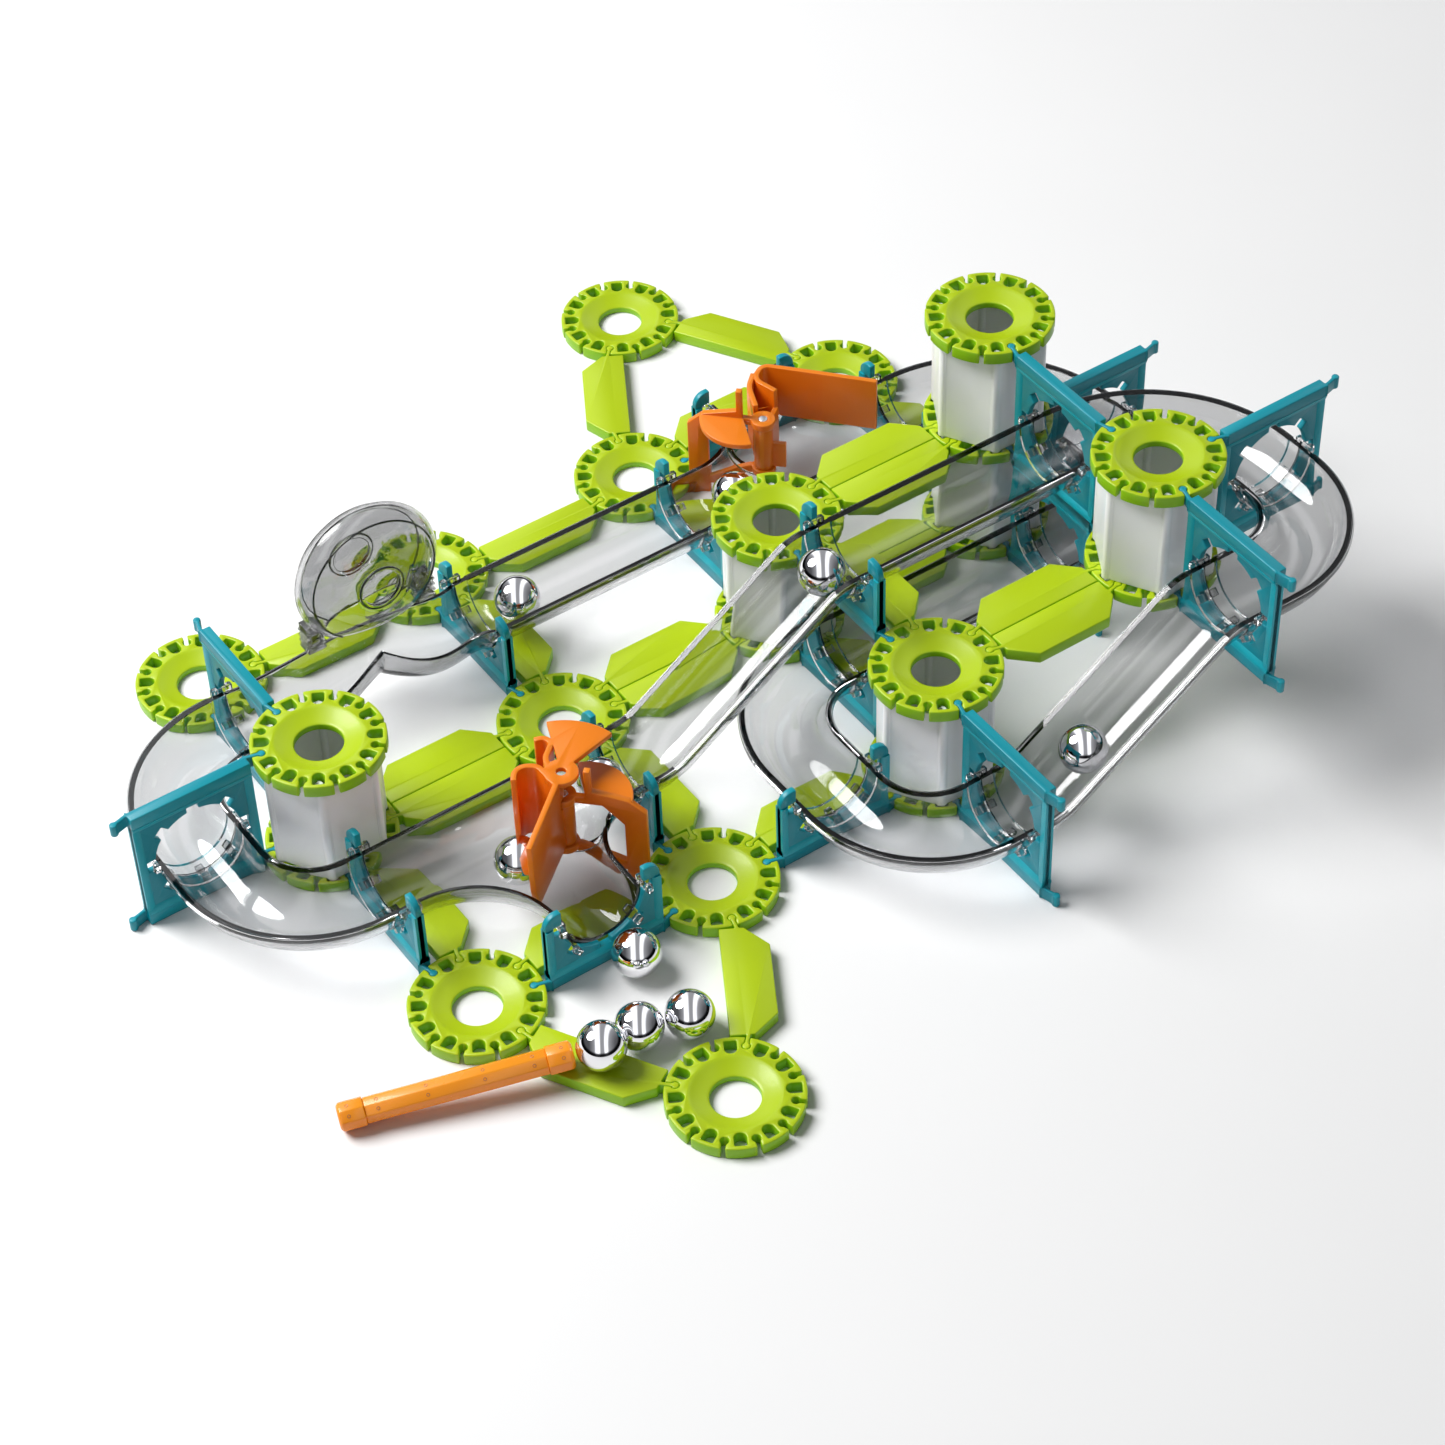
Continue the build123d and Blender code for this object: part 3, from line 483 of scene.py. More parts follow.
def sweep_tree():
    tree = bpy.data.node_groups.new("draw_section_along_path", "GeometryNodeTree")
    face = tree.interface
    face.new_socket("Geometry", in_out="INPUT", socket_type="NodeSocketGeometry")
    face.new_socket("Section", in_out="INPUT", socket_type="NodeSocketObject")
    face.new_socket("Finish", in_out="INPUT", socket_type="NodeSocketMaterial")
    face.new_socket("Geometry", in_out="OUTPUT", socket_type="NodeSocketGeometry")
    source = tree.nodes.new("NodeGroupInput").outputs
    upright = node(tree, "GeometryNodeSetCurveNormal", {"mode": "Z_UP"}, Curve=source["Geometry"])
    section = node(tree, "GeometryNodeObjectInfo", Object=source["Section"])
    drawn = node(tree, "GeometryNodeCurveToMesh", Curve=upright.outputs[0],
                 Profile_Curve=section.outputs["Geometry"], Fill_Caps=True)
    real = node(tree, "GeometryNodeRealizeInstances", Geometry=drawn.outputs[0])
    done = node(tree, "GeometryNodeSetMaterial", Geometry=real.outputs[0], Material=source["Finish"])
    end = tree.nodes.new("NodeGroupOutput")
    tree.links.new(done.outputs[0], end.inputs[0])
    return tree


SWEEP = sweep_tree()


def set_input(modifier, name, value):
    sockets = modifier.node_group.interface.items_tree
    modifier[next(s.identifier for s in sockets if s.name == name and s.in_out == "INPUT")] = value


def drawn_along(name, points, section, finish=None):
    curve = bpy.data.curves.new(name, "CURVE")
    curve.dimensions = "3D"
    line = curve.splines.new("POLY")
    line.points.add(len(points) - 1)
    for spot, place in zip(line.points, points):
        spot.co = (*place, 1)
    source = bpy.data.objects.new(name, curve)
    bpy.context.scene.collection.objects.link(source)
    tool = source.modifiers.new("draw", "NODES")
    tool.node_group = SWEEP
    set_input(tool, "Section", section)
    set_input(tool, "Finish", finish or clear)
    piece = plain(source, name)
    forget(source)
    return piece


def join(name, pieces):
    shape = bmesh.new()
    for each in pieces:
        shape.from_mesh(each.data)
    bmesh.ops.remove_doubles(shape, verts=shape.verts, dist=0.001 * MM)
    bmesh.ops.recalc_face_normals(shape, faces=shape.faces)
    forget(*pieces)
    joined = solid(shape, name, smooth=True)
    joined.data.set_sharp_from_angle(angle=math.radians(35))
    return joined


# %% Ledge sections for a low rail and a high rail, and prisms for the end ribs
CELL, LEVEL, ROOT = 70 * MM, 34.6 * MM, math.sqrt(0.75)
KEY_SIDE, WEB_END, WEB_HALF, RAIL_HALF = 3.805 * MM, 18.2 * MM, 0.9 * MM, 1.6 * MM


def ledge(foot, shoulder, toe):
    """Full thickness from the rail's edge at foot to shoulder, then sloped down to the web at toe."""
    half = [(RAIL_HALF, foot * MM), (RAIL_HALF, shoulder * MM), (WEB_HALF - 0.05 * MM, toe * MM)]
    around = half + [(-x, y) for x, y in half[::-1]]
    return closed_curve("ledge_section", around if toe > foot else around[::-1])


low_ledge, high_ledge = ledge(3.55, 4.5, 5.6), ledge(34.65, 33.9, 32.7)


RIB_FOOT = 3.5 * MM
RIB_PLAN = [(0.0, -1.35), (1.5, -1.35), (2.3, -0.85), (2.3, 0.85), (1.5, 1.35), (0.0, 1.35)]


def end_rib(at, way, top):
    shape = bmesh.new()
    side = Vector((-way.y, way.x, 0))
    foot = at + Vector((0, 0, RIB_FOOT))
    low = [shape.verts.new(foot + way * (x * MM) + side * (y * MM)) for x, y in RIB_PLAN]
    high = [shape.verts.new(v.co + Vector((0, 0, top - RIB_FOOT))) for v in low]
    shape.faces.new(low[::-1])
    shape.faces.new(high)
    for k in range(len(RIB_PLAN)):
        following = (k + 1) % len(RIB_PLAN)
        shape.faces.new((low[k], low[following], high[following], high[k]))
    return solid(shape, "end_rib")


# %% Every panel and saddle: hub it starts at, direction, side, level, height
PANELS = [(0, 1, "W", -1, 0, 1), (0, 1, "N", 1, 0, 1), (2, 0, "S", -1, 0, 1), (3, 0, "S", -1, 1, 1),
          (3, 0, "E", -1, 1, 1), (3, 1, "E", -1, 0, 1), (3, 0, "N", 1, 0, 1), (3, 0, "N", 1, 1, 1)]
SADDLES = [(0, 0, "N", 1, 0, 0), (1, 0, "N", 1, 0, 0), (0, 0, "E", -1, 0, 0), (2, 1, "N", 1, 0, 0),
           (2, 2, "E", -1, 0, 0), (3, 1, "N", 1, 0, 0), (1, 1, "N", 1, 0, 0), (1, 0, "E", -1, 0, 0),
           (2, 0, "N", 1, 0, 0), (2, 0, "N", 1, 1, 0)]
WAYS = {"N": Vector((0, 1, 0)), "S": Vector((0, -1, 0)), "E": Vector((1, 0, 0)), "W": Vector((-1, 0, 0))}
PANEL_TOP, SADDLE_TOP = 34.7 * MM, 20.6 * MM
ribs = []
for x, y, compass, hand, level, tall in PANELS + SADDLES:
    way = WAYS[compass]
    side = Vector((-way.y, way.x, 0)) * (hand * KEY_SIDE)
    start = Vector((x * CELL, y * CELL, level * LEVEL)) + side
    near, far = start + way * WEB_END, start + way * (CELL - WEB_END)
    ribs.append(drawn_along("ledge", [near, far], low_ledge, teal))
    if tall:
        ribs.append(drawn_along("ledge", [near, far], high_ledge, teal))
    top = PANEL_TOP if tall else SADDLE_TOP
    ribs += [end_rib(near, way, top), end_rib(far, -way, top)]
piece = join("panel_ledges", ribs)
hand_over(piece, "run_frame", "teal_plastic", teal)
forget(low_ledge, high_ledge)
print("ledges and ribs:", len(piece.data.polygons), "faces")

# %% [markdown]
# ## Hubs
# All twenty hubs are the same moulding, set down at different places. Making one well and letting
# Geometry Nodes stand a copy on each point of a small point cloud keeps them identical, and one change
# to the pattern changes them all.

# %% The pattern hub, and a tree that stands it on points
def place_tree():
    tree = bpy.data.node_groups.new("stand_pattern_on_points", "GeometryNodeTree")
    face = tree.interface
    face.new_socket("Geometry", in_out="INPUT", socket_type="NodeSocketGeometry")
    face.new_socket("Pattern", in_out="INPUT", socket_type="NodeSocketObject")
    face.new_socket("Size", in_out="INPUT", socket_type="NodeSocketFloat").default_value = 1.0
    face.new_socket("Finish", in_out="INPUT", socket_type="NodeSocketMaterial")
    face.new_socket("Geometry", in_out="OUTPUT", socket_type="NodeSocketGeometry")
    source = tree.nodes.new("NodeGroupInput").outputs
    pattern = node(tree, "GeometryNodeObjectInfo", Object=source["Pattern"])
    turn = node(tree, "GeometryNodeInputNamedAttribute", {"data_type": "FLOAT_VECTOR"}, Name="turn")
    stood = node(tree, "GeometryNodeInstanceOnPoints", Points=source["Geometry"],
                 Instance=pattern.outputs["Geometry"], Rotation=turn.outputs["Attribute"],
                 Scale=source["Size"])
    real = node(tree, "GeometryNodeRealizeInstances", Geometry=stood.outputs[0])
    done = node(tree, "GeometryNodeSetMaterial", Geometry=real.outputs[0], Material=source["Finish"])
    end = tree.nodes.new("NodeGroupOutput")
    tree.links.new(done.outputs[0], end.inputs[0])
    return tree


PLACE = place_tree()


def stand_on_points(name, points, pattern, material, turns=None):
    cloud = bpy.data.meshes.new(name + "_points")
    cloud.from_pydata([tuple(p) for p in points], [], [])
    turn = cloud.attributes.new("turn", "FLOAT_VECTOR", "POINT")
    for k, angles in enumerate(turns or [(0, 0, 0)] * len(points)):
        turn.data[k].vector = angles
    source = bpy.data.objects.new(name + "_points", cloud)
    bpy.context.scene.collection.objects.link(source)
    tool = source.modifiers.new("stand", "NODES")
    tool.node_group = PLACE
    set_input(tool, "Pattern", pattern)
    set_input(tool, "Size", 1.0)
    set_input(tool, "Finish", material)
    piece = plain(source, name)
    forget(source)
    return piece


pattern_hub = rounded("pattern_hub", "hub_middle", 0.30)
low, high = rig.box("hub_middle")
pattern_hub.data.transform(Matrix.Translation(-Vector(((low.x + high.x) / 2, (low.y + high.y) / 2, low.z))))
print("pattern hub:", len(pattern_hub.data.polygons), "faces")

# %% Stand the hubs where the frame has them
HUBS = {
    "hubs_back_triangle": [(2.5, 2 + ROOT, 0), (3, 2, 0), (2, 2, 0)],
    "hubs_back_row": [(1, 2, 0), (0, 2, 0)],
    "hub_middle": [(1, 1, 0)],
    "hubs_front_triangle": [(1, 0, 0), (0, 0, 0), (0.5, -ROOT, 0)],
    "tower_hubs_ground": [(0, 1, 0), (2, 1, 0), (2, 0, 0), (3, 1, 0)],
    "tower_hubs_middle": [(0, 1, 1), (2, 1, 1), (2, 0, 1), (3, 0, 1), (3, 1, 1)],
    "tower_hubs_top": [(3, 0, 2), (3, 1, 2)],
}
for each, spots in HUBS.items():
    piece = stand_on_points(each + "_moulded", [(x * CELL, y * CELL, k * LEVEL) for x, y, k in spots],
                            pattern_hub, lime)
    hand_over(piece, "run_frame", "lime_plastic", lime, [each])
    print(each, len(spots), "hubs,", len(piece.data.polygons), "faces")
forget(pattern_hub)

# %% [markdown]
# ## Clear troughs
# A trough is one half-ring section drawn along a path, which is what Curve to Mesh does. The path is the trough's
# centre line. A lip runs along each rim on all of it but the ends, where the trough passes through a panel and has a
# slightly thicker collar instead. Between wall and lip runs a narrow strip, drawn with its own section in a near-black
# clear finish: it is a painted dark line, painted shade along the root of the lip.

# %% The two sections, as closed curves
AXIS_Z = 19.1 * MM
TROUGH_OUT, TROUGH_IN, LIP_OUT, LIP_H = 11.6 * MM, 10.4 * MM, 12.3 * MM, 1.0 * MM
END_CLEAR, END_GAP = 4.0 * MM, 0.15 * MM


def arc(radius, start, end, steps):
    turn = [math.radians(start + (end - start) * k / steps) for k in range(steps + 1)]
    return [(radius * math.cos(a), radius * math.sin(a)) for a in turn]


shell_section = closed_curve("shell_section", arc(TROUGH_OUT, 180, 360, 40) + arc(TROUGH_IN, 360, 180, 40))
STRIP_OUT = TROUGH_OUT + 0.30 * MM
strip = [(TROUGH_OUT + 0.02 * MM, 0), (STRIP_OUT, 0), (STRIP_OUT, -LIP_H), (TROUGH_OUT + 0.02 * MM, -LIP_H)]
lip = [(STRIP_OUT + 0.02 * MM, 0), (LIP_OUT - 0.12 * MM, 0), (LIP_OUT, -0.15 * MM), (LIP_OUT, -LIP_H),
       (STRIP_OUT + 0.02 * MM, -LIP_H)]


def both_sides(name, outline):
    return [closed_curve(name, [(hand * x, y) for x, y in outline][::-hand]) for hand in (-1, 1)]


strip_sections, lip_sections = both_sides("strip_section", strip), both_sides("lip_section", lip)
collar_section = closed_curve("collar_section", arc(11.86 * MM, 180, 360, 40) + arc(TROUGH_IN, 360, 180, 40))
print("sections:", [o.name for o in (shell_section, *strip_sections, *lip_sections, collar_section)])


# %% Centre lines: straight, quarter bend, slope
BEND_SPARE, SLOPE_R, SLOPE_FLAT = 5.0 * MM, 15.0 * MM, 4.4 * MM


def mouth(x, y, level=0):
    shift = [KEY_SIDE if v == int(v) else 0 for v in (x, y)]
    return Vector((x * CELL - shift[0], y * CELL - shift[1], level * LEVEL + AXIS_Z))


def turn_points(centre, start, axis, angle, steps):
    return [centre + Matrix.Rotation(angle * k / steps, 3, axis) @ start for k in range(steps + 1)]


def bend_line(start, end, first):
    along = first * (end - start).dot(first)
    across = (end - start) - along
    radius = min(along.length, across.length) - BEND_SPARE
    second = across.normalized()
    corner = start + along
    centre = corner - first * radius + second * radius
    axis = first.cross(second)
    arcs = turn_points(centre, -second * radius, axis, math.pi / 2, 30)
    return [start + first * END_GAP, *arcs, end - second * END_GAP]


def slope_line(low, high):
    way = Vector((1, 0, 0)) if high.x > low.x else Vector((-1, 0, 0))
    run, rise = abs(high.x - low.x) - 2 * END_GAP - 2 * SLOPE_FLAT, high.z - low.z
    length = math.sqrt(run ** 2 + rise ** 2 - 4 * SLOPE_R * rise)
    angle = math.atan2(rise - 2 * SLOPE_R, run) + math.atan2(2 * SLOPE_R, length)
    up = Vector((0, 0, 1))
    a, b = low + way * END_GAP, high - way * END_GAP
    side = way.cross(up)
    first = turn_points(a + way * SLOPE_FLAT + up * SLOPE_R, -up * SLOPE_R, side, angle, 14)
    top = turn_points(b - way * SLOPE_FLAT - up * SLOPE_R, up * SLOPE_R, side, angle, 14)[::-1]
    return [a, *first, *top, b]


EAST, WEST = Vector((1, 0, 0)), Vector((-1, 0, 0))
J_LEFT = Vector((-CELL / 2, CELL + KEY_SIDE, AXIS_Z))
print("a mouth of the trough behind:", [round(v, 4) for v in mouth(1, 1.5)])


# %% Cut the end stretches off a centre line
def split_line(points):
    a, b = points[0], points[-1]
    first, last = (points[1] - a).normalized(), (points[-2] - b).normalized()
    inner = [a + first * END_CLEAR, *points[1:-1], b + last * END_CLEAR]
    inner = [p for k, p in enumerate(inner) if k in (0, len(inner) - 1)
             or ((p - inner[0]).dot(first) > 0.0002 and (p - inner[-1]).dot(last) > 0.0002)]
    return [a, a + first * (END_CLEAR - 0.02 * MM)], inner, [b + last * (END_CLEAR - 0.02 * MM), b]


# %% Draw every trough
TROUGHS = {
    "trough_upper": [[mouth(2, 0.5, 1), mouth(3, 0.5, 1)]],
    "trough_lower": [[mouth(2, 0.5), mouth(3, 0.5)]],
    "trough_back": [[mouth(1, 1.5), mouth(2, 1.5)]],
    "slope_middle": [slope_line(mouth(1, 0.5), mouth(2, 0.5, 1))],
    "slope_front": [slope_line(mouth(2, -0.5), mouth(3, -0.5, 1))],
    "bends_j": [bend_line(mouth(0, 1.5), J_LEFT, WEST), bend_line(mouth(0, 0.5), J_LEFT, WEST)],
    "bends_l": [bend_line(mouth(2, y), mouth(1.5, 0), WEST) for y in (-0.5, 0.5)],
    "bends_m": [bend_line(mouth(3, y, 1), mouth(3.5, 0, 1), EAST) for y in (0.5, -0.5)],
    "bends_n": [bend_line(mouth(3, y), mouth(3.5, 1), EAST) for y in (0.5, 1.5)],
}
for each, lines in TROUGHS.items():
    parts, beads = [], []
    for points in lines:
        if len(points) == 2:
            way = (points[1] - points[0]).normalized()
            points = [points[0] + way * END_GAP, points[0].lerp(points[1], 0.5), points[1] - way * END_GAP]
        near, inner, far = split_line(points)
        parts += [drawn_along("near", near, collar_section), drawn_along("inner", inner, shell_section),
                  drawn_along("far", far, collar_section)]
        parts += [drawn_along("lip", inner, section) for section in lip_sections]
        # The strips take the near-black finish: painted dark lines along the rims.
        beads += [drawn_along("bead", inner, section, rim) for section in strip_sections]
    piece = join(each + "_clear", parts)
    want_low, want_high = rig.box(each)
    have = [v.co for v in piece.data.vertices]
    print(each, "lowest", round(min(v.z for v in have) - want_low.z, 5),
          "highest", round(max(v.z for v in have) - want_high.z, 5), len(piece.data.polygons), "faces")
    hand_over(piece, "run_frame", "clear_plastic", clear, [each])
    hand_over(join(each + "_beads", beads), "run_frame", "clear_plastic", rim)
forget(shell_section, *strip_sections, *lip_sections, collar_section)

# %% [markdown]
# ## Snap hooks
# Each mouth of a trough grips its panel with small clear hooks, which sit in the panel's notches and
# hold it from both sides. They are what sparkles round every panel. One hook is a C in side view, and
# the tree that stood the hubs also stands the hooks, now with a turn for each.

# %% One hook, drawn as a C and given its width
HOOK_WIDTH = 2.2 * MM


def hook_pattern():
    low, tall = 11.9 * MM, 13.3 * MM
    side = [(-3.0, low), (3.0, low), (3.0, tall), (2.2, tall + 0.3 * MM), (1.2, tall), (1.2, low + 0.7 * MM),
            (-1.2, low + 0.7 * MM), (-1.2, tall), (-2.2, tall + 0.3 * MM), (-3.0, tall)]
    shape = bmesh.new()
    ring = [shape.verts.new((x * MM, -HOOK_WIDTH / 2, z)) for x, z in side]
    face = shape.faces.new(ring)
    grown = bmesh.ops.extrude_face_region(shape, geom=[face])["geom"]
    bmesh.ops.translate(shape, verts=[g for g in grown if isinstance(g, bmesh.types.BMVert)],
                        vec=(0, HOOK_WIDTH, 0))
    bmesh.ops.recalc_face_normals(shape, faces=shape.faces)
    bmesh.ops.bevel(shape, geom=shape.edges[:], offset=0.14 * MM, segments=1, affect="EDGES")
    return solid(shape, "hook_pattern")


hook = hook_pattern()
print("hook:", len(hook.data.polygons), "faces")

# %% Five hooks at every mouth, two of them at the rims
ALONG_X = [(1, 0.5), (2, 0.5, 1), (3, 0.5, 1), (2, 0.5), (3, 0.5), (1, 1.5), (2, 1.5), (2, -0.5),
           (3, -0.5, 1), (0, 1.5), (0, 0.5), (3, 1.5)]
ALONG_Y = [(1.5, 0), (3.5, 0, 1), (3.5, 1), (0.5, 0), (2.5, 2)]
mouths = [(mouth(*m), 0) for m in ALONG_X]
mouths += [(place, math.pi / 2) for place in [mouth(*m) for m in ALONG_Y] + [J_LEFT]]
# A ball on the floor rolls up to this panel, so its lowest hook is left off.
BESIDE_LOOSE_BALL = mouth(0.5, 0)
spots, turns = [], []
for place, quarter in mouths:
    for angle in (90, 135, 180, 225, 270):
        if angle == 180 and place == BESIDE_LOOSE_BALL:
            continue
        spots.append(place)
        turns.append((math.radians(angle), 0, quarter))
piece = stand_on_points("snap_hooks", spots, hook, clear, turns)
hand_over(piece, "run_frame", "clear_plastic", clear)
forget(hook)
print(len(spots), "hooks,", len(piece.data.polygons), "faces")

# %% [markdown]
# ## Basins, the loop's track and its drum
# The two T-shaped basins catch a ball and turn it to the next trough, and the loop's track leads it under
# the drum. Each is one thin clear moulding whose measured shape is already right, so it only gets its
# edges rounded. The bevel is narrow because the walls are barely more than a millimetre thick.

# %% Clear pieces that keep their measured shape
for each in ("basin_front", "basin_back", "loop_track", "loop_drum"):
    piece = rounded(each + "_clear", each, 0.12, angle=40, smooth=45)
    hand_over(piece, "run_frame", "clear_plastic", clear, [each])
    print(each, len(piece.data.polygons), "faces")

# %% [markdown]
# ## Rims and clips of the loop drum
# The clear drum is two dished halves. A fine welded bead runs round each shoulder and round each boss, and is given
# the near-black finish of the rim strips, a painted dark line. Below, two clips with cross ribs hold the drum to its
# track. A bead is a small ring turned about the drum's axis, and the ribs are one rib stood four times on each clip.

# %% Beads round the drum
DRUM = Vector((40.0, 113.5, 40.5)) * MM


def bead_ring(shape, radius, offset, thick, first=0.0, last=360.0, around=96, across=8):
    closed = last - first >= 360
    rings = []
    for k in range(around if closed else around + 1):
        a = math.radians(first + (last - first) * k / around)
        out = Vector((math.cos(a), 0, math.sin(a)))
        ring = []
        for j in range(across):
            b = 2 * math.pi * j / across
            ring.append(shape.verts.new(DRUM + out * (radius + thick * math.cos(b))
                                        + Vector((0, offset + thick * math.sin(b), 0))))
        rings.append(ring)
    pairs = zip(rings, rings[1:] + (rings[:1] if closed else []))
    for one, two in pairs:
        for j in range(across):
            shape.faces.new((one[j], one[(j + 1) % across], two[(j + 1) % across], two[j]))
    if not closed:
        shape.faces.new(rings[0])
        shape.faces.new(rings[-1][::-1])


shape = bmesh.new()
for hand in (-1, 1):
    bead_ring(shape, 18.15 * MM, hand * 4.25 * MM, 0.28 * MM, first=-52, last=232)
    bead_ring(shape, 6.4 * MM, hand * 8.2 * MM, 0.22 * MM, around=48)
bmesh.ops.recalc_face_normals(shape, faces=shape.faces)
piece = solid(shape, "drum_beads", smooth=True)
# The beads take the near-black finish: painted dark lines, painted shade round the drum.
hand_over(piece, "run_frame", "clear_plastic", rim)
print("drum beads:", len(piece.data.polygons), "faces")

# %% Cross ribs on the two clips
shape = bmesh.new()
bmesh.ops.create_cube(shape, size=1.0)
bmesh.ops.scale(shape, verts=shape.verts, vec=(5.6 * MM, 5.0 * MM, 0.7 * MM))
bmesh.ops.bevel(shape, geom=shape.edges[:], offset=0.2 * MM, segments=2, affect="EDGES")
clip_rib = solid(shape, "clip_rib")
spots = [DRUM + Vector((hand * 16.8, 2.2, drop)) * MM
         for hand in (-1, 1) for drop in (-19.0, -17.1, -15.2, -13.3)]
piece = stand_on_points("clip_ribs", spots, clip_rib, clear)
hand_over(piece, "run_frame", "clear_plastic", clear)
forget(clip_rib)
print("clip ribs:", len(spots))

# %% [markdown]
# ## Dimples in the rod
# Tiny ejector dimples sit in rows on the rod's faces, at its caps and its middle. Each is a shallow cup with a raised
# rim, stood on the rod by the same tree. The cups are coloured a dark orange, painted shade in them, and their rims a
# pale orange, a painted highlight.

# %% One dimple as a lathe shape
def dimple_pattern():
    profile = [(0.52, -0.02), (0.44, 0.05), (0.34, 0.05), (0.22, -0.06), (0.0, -0.10)]
    steps = 14
    shape = bmesh.new()
    turns = [2 * math.pi * k / steps for k in range(steps)]
    rings = [[shape.verts.new((r * MM * math.cos(a), r * MM * math.sin(a), z * MM)) for a in turns]
             for r, z in profile[:-1]]
    tip = shape.verts.new((0, 0, profile[-1][1] * MM))
    for outer, inner in zip(rings, rings[1:]):
        for k in range(steps):
            shape.faces.new((outer[k], outer[(k + 1) % steps], inner[(k + 1) % steps], inner[k]))
    for k in range(steps):
        shape.faces.new((rings[-1][k], rings[-1][(k + 1) % steps], tip))
    return solid(shape, "dimple_pattern", smooth=True)


# %% Rows of dimples along the rod
ROD_START, ROD_HEADING, ROD_TILT = Vector((-46.2, -11.6, 3.74)) * MM, math.radians(-19.5), math.radians(4.0)
rod = Matrix.Rotation(ROD_HEADING, 3, "Z") @ Matrix.Rotation(math.pi / 2 - ROD_TILT, 3, "Y")
dimple = dimple_pattern()
# Dark orange cups are painted shade; the pale edge colour on the rims is a painted highlight.
dimple_painted_shade_and_glint = coloured_plastic("dimple_painted_shade_and_glint", (0.35, 0.06, 0.002, 1), (0.45, 0.10, 0.004, 1),
                                 (0.95, 0.6, 0.2, 1), 0.3, 0.2)
spots, turns = [], []
for face_angle in (135, 180, 225):
    out = rod @ Vector((math.cos(math.radians(face_angle)), math.sin(math.radians(face_angle)), 0))
    frame_turn = out.to_track_quat("Z", "Y").to_euler()
    for along, radius in ((2.6, 3.5), (9.8, 3.15), (22.0, 3.15), (36.0, 3.15), (48.2, 3.15), (55.4, 3.5)):
        spots.append(ROD_START + rod @ Vector((0, 0, along * MM)) + out * (radius * MM))
        turns.append(tuple(frame_turn))
piece = stand_on_points("rod_dimples", spots, dimple, dimple_painted_shade_and_glint, turns)
hand_over(piece, "wand", "bright_orange_plastic", dimple_painted_shade_and_glint)
forget(dimple)
print(len(spots), "dimples")

# %% [markdown]
# ## Steel balls
# A ball has no detail but its roundness and its polish. The frame's balls are faceted, so each gets a
# finely divided ball of the same size, because a mirror shows every facet.

# %% One fine ball for each
for each in sorted(n for n in frame["nodes"] if n.startswith("ball_")):
    low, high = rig.box(each)
    shape = bmesh.new()
    bmesh.ops.create_icosphere(shape, subdivisions=5, radius=(high.x - low.x) / 2)
    bmesh.ops.translate(shape, verts=shape.verts, vec=(low + high) / 2)
    piece = solid(shape, each + "_polished", smooth=True)
    hand_over(piece, rides_on[each], "chromed_steel", chrome, [each])
print("balls done")

# %% [markdown]
# ## Floor and light
# A pale matt floor takes the soft shadow under the run. The room is a bright ceiling over a darker
# horizon: the dark band is what draws the outlines in the clear troughs and the rings in the balls. Two
# long soft boxes overhead put streaks of light along the troughs, and one lamp casts the shadows.

# %% Pale floor
def pale_floor():
    mesh = bpy.data.meshes.new("floor")
    corners = [(-4, -4, 0), (4, -4, 0), (4, 4, 0), (-4, 4, 0)]
    mesh.from_pydata(corners, [], [(0, 1, 2, 3)])
    made = bpy.data.objects.new("floor", mesh)
    made.location.z = -0.05 * MM
    bpy.context.scene.collection.objects.link(made)
    paint = bpy.data.materials.new("floor_paint")
    paint.use_nodes = True
    tree = paint.node_tree
    shader = tree.nodes["Principled BSDF"]
    place = tree.nodes.new("ShaderNodeTexCoord").outputs["Object"]
    mottle = node(tree, "ShaderNodeTexNoise", Vector=place, Scale=14.0, Detail=2.0)
    tone = node(tree, "ShaderNodeMapRange", i0=mottle.outputs["Fac"], i3=0.86, i4=0.88)
    tree.links.new(tone.outputs[0], shader.inputs["Base Color"])
    shader.inputs["Roughness"].default_value = 0.85
    shader.inputs["Specular IOR Level"].default_value = 0.1
    mesh.materials.append(paint)
    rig.stage(made)
    return made


pale_floor()

# %% Ceiling bright, horizon darker
world = bpy.data.worlds.new("studio")
world.use_nodes = True
sky = world.node_tree
way = sky.nodes.new("ShaderNodeTexCoord").outputs["Generated"]
height = node(sky, "ShaderNodeSeparateXYZ", Vector=way).outputs["Z"]
ramp = node(sky, "ShaderNodeValToRGB", i0=height)
stops = ramp.color_ramp.elements
stops[0].position, stops[0].color = 0.20, (0.02, 0.02, 0.022, 1)
stops[1].position, stops[1].color = 0.34, (0.95, 0.96, 0.98, 1)
kind = sky.nodes.new("ShaderNodeLightPath").outputs["Is Diffuse Ray"]
power = node(sky, "ShaderNodeMapRange", i0=kind, i3=1.0, i4=0.16)

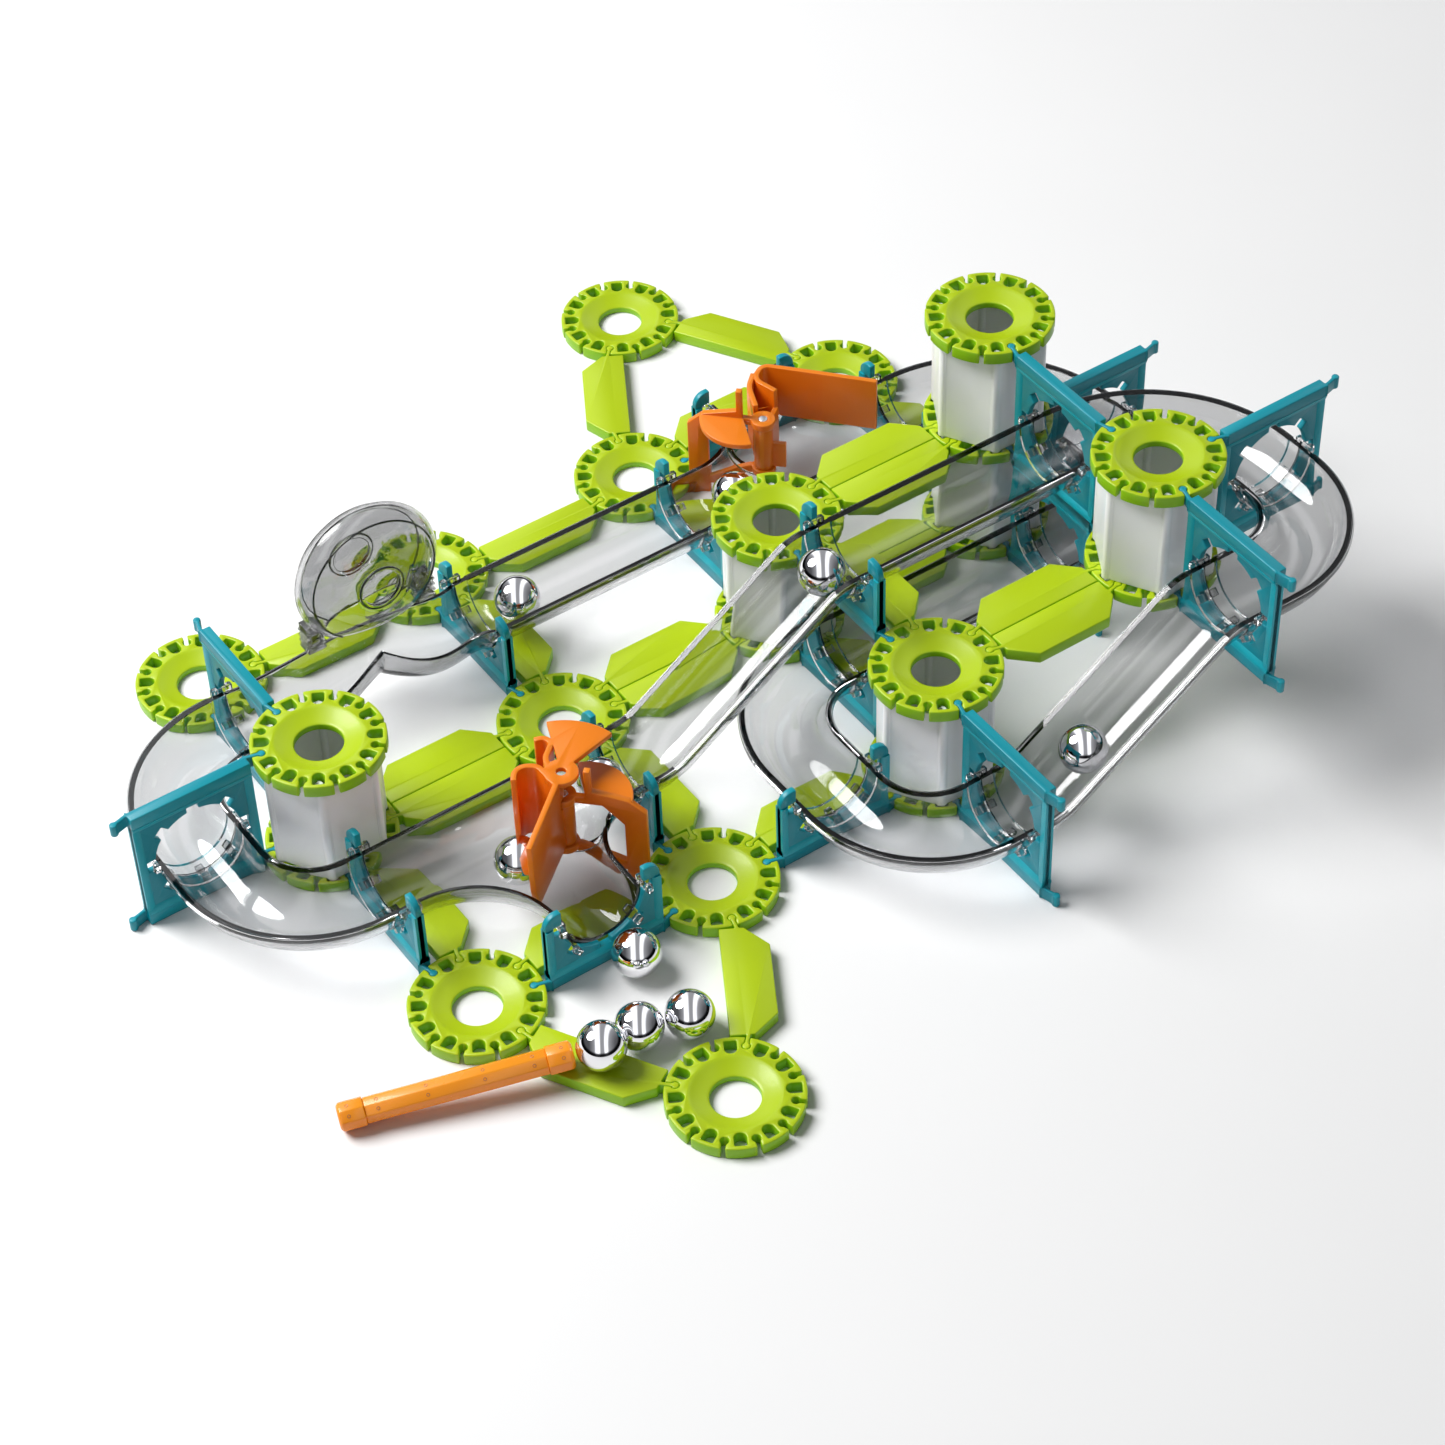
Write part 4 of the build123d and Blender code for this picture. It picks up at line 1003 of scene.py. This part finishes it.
# %% Long soft boxes across the ceiling, seen only in polished surfaces
sideways = node(sky, "ShaderNodeVectorMath", {"operation": "DOT_PRODUCT"}, i0=way, i1=tuple(level_right))
across = node(sky, "ShaderNodeMapRange", i0=sideways.outputs["Value"], i1=-1.0, i2=1.0)
boxes = node(sky, "ShaderNodeValToRGB", i0=across.outputs[0])
GREY, BRIGHT = (0.40, 0.40, 0.41, 1), (1.9, 1.9, 1.9, 1)
marks = boxes.color_ramp.elements
marks[0].position, marks[0].color = 0.10, (0.10, 0.10, 0.105, 1)
marks[1].position, marks[1].color = 0.95, (0.12, 0.12, 0.125, 1)
for position, colour in ((0.26, GREY), (0.33, BRIGHT), (0.42, BRIGHT), (0.49, GREY), (0.60, GREY),
                         (0.66, BRIGHT), (0.71, BRIGHT), (0.78, GREY)):
    marks.new(position).color = colour
seen = node(sky, "ShaderNodeMix", {"data_type": "RGBA"}, i0=kind, i6=boxes.outputs[0], i7=(1, 1, 1, 1))
lit = node(sky, "ShaderNodeMix", {"data_type": "RGBA", "blend_type": "MULTIPLY"}, i0=1.0,
           i6=ramp.outputs[0], i7=seen.outputs[2])
sky.links.new(lit.outputs[2], sky.nodes["Background"].inputs["Color"])
sky.links.new(power.outputs[0], sky.nodes["Background"].inputs["Strength"])
bpy.context.scene.world = world


# %% One soft key lamp, low on the left so that shadows fall to the right
def soft_lamp(name, place, aim, size, watts):
    lamp = bpy.data.objects.new(name, bpy.data.lights.new(name, "AREA"))
    lamp.data.shape, lamp.data.size, lamp.data.energy = "DISK", size, watts
    lamp.location = place
    lamp.rotation_euler = (Vector(aim) - Vector(place)).to_track_quat("-Z", "Y").to_euler()
    bpy.context.scene.collection.objects.link(lamp)
    print("lamp", name, watts, "W")


CENTRE = (0.12, 0.05, 0.02)
soft_lamp("key", (-0.50, 0.70, 1.06), CENTRE, 0.90, 28.0)
bpy.context.scene.view_settings.view_transform = "Standard"
bpy.context.scene.cycles.transparent_max_bounces = 32
bpy.context.scene.cycles.max_bounces = 16
bpy.context.scene.cycles.transmission_bounces = 16
bpy.context.scene.cycles.diffuse_bounces = 8

# %% Write the two boxes and finish
def as_lists(box):
    return [[float(v) for v in corner] for corner in box]


with open("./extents.json", "w") as out:
    json.dump({"cad": as_lists(cad_box), "visual": as_lists(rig.bounds())}, out)
print(open("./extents.json").read())
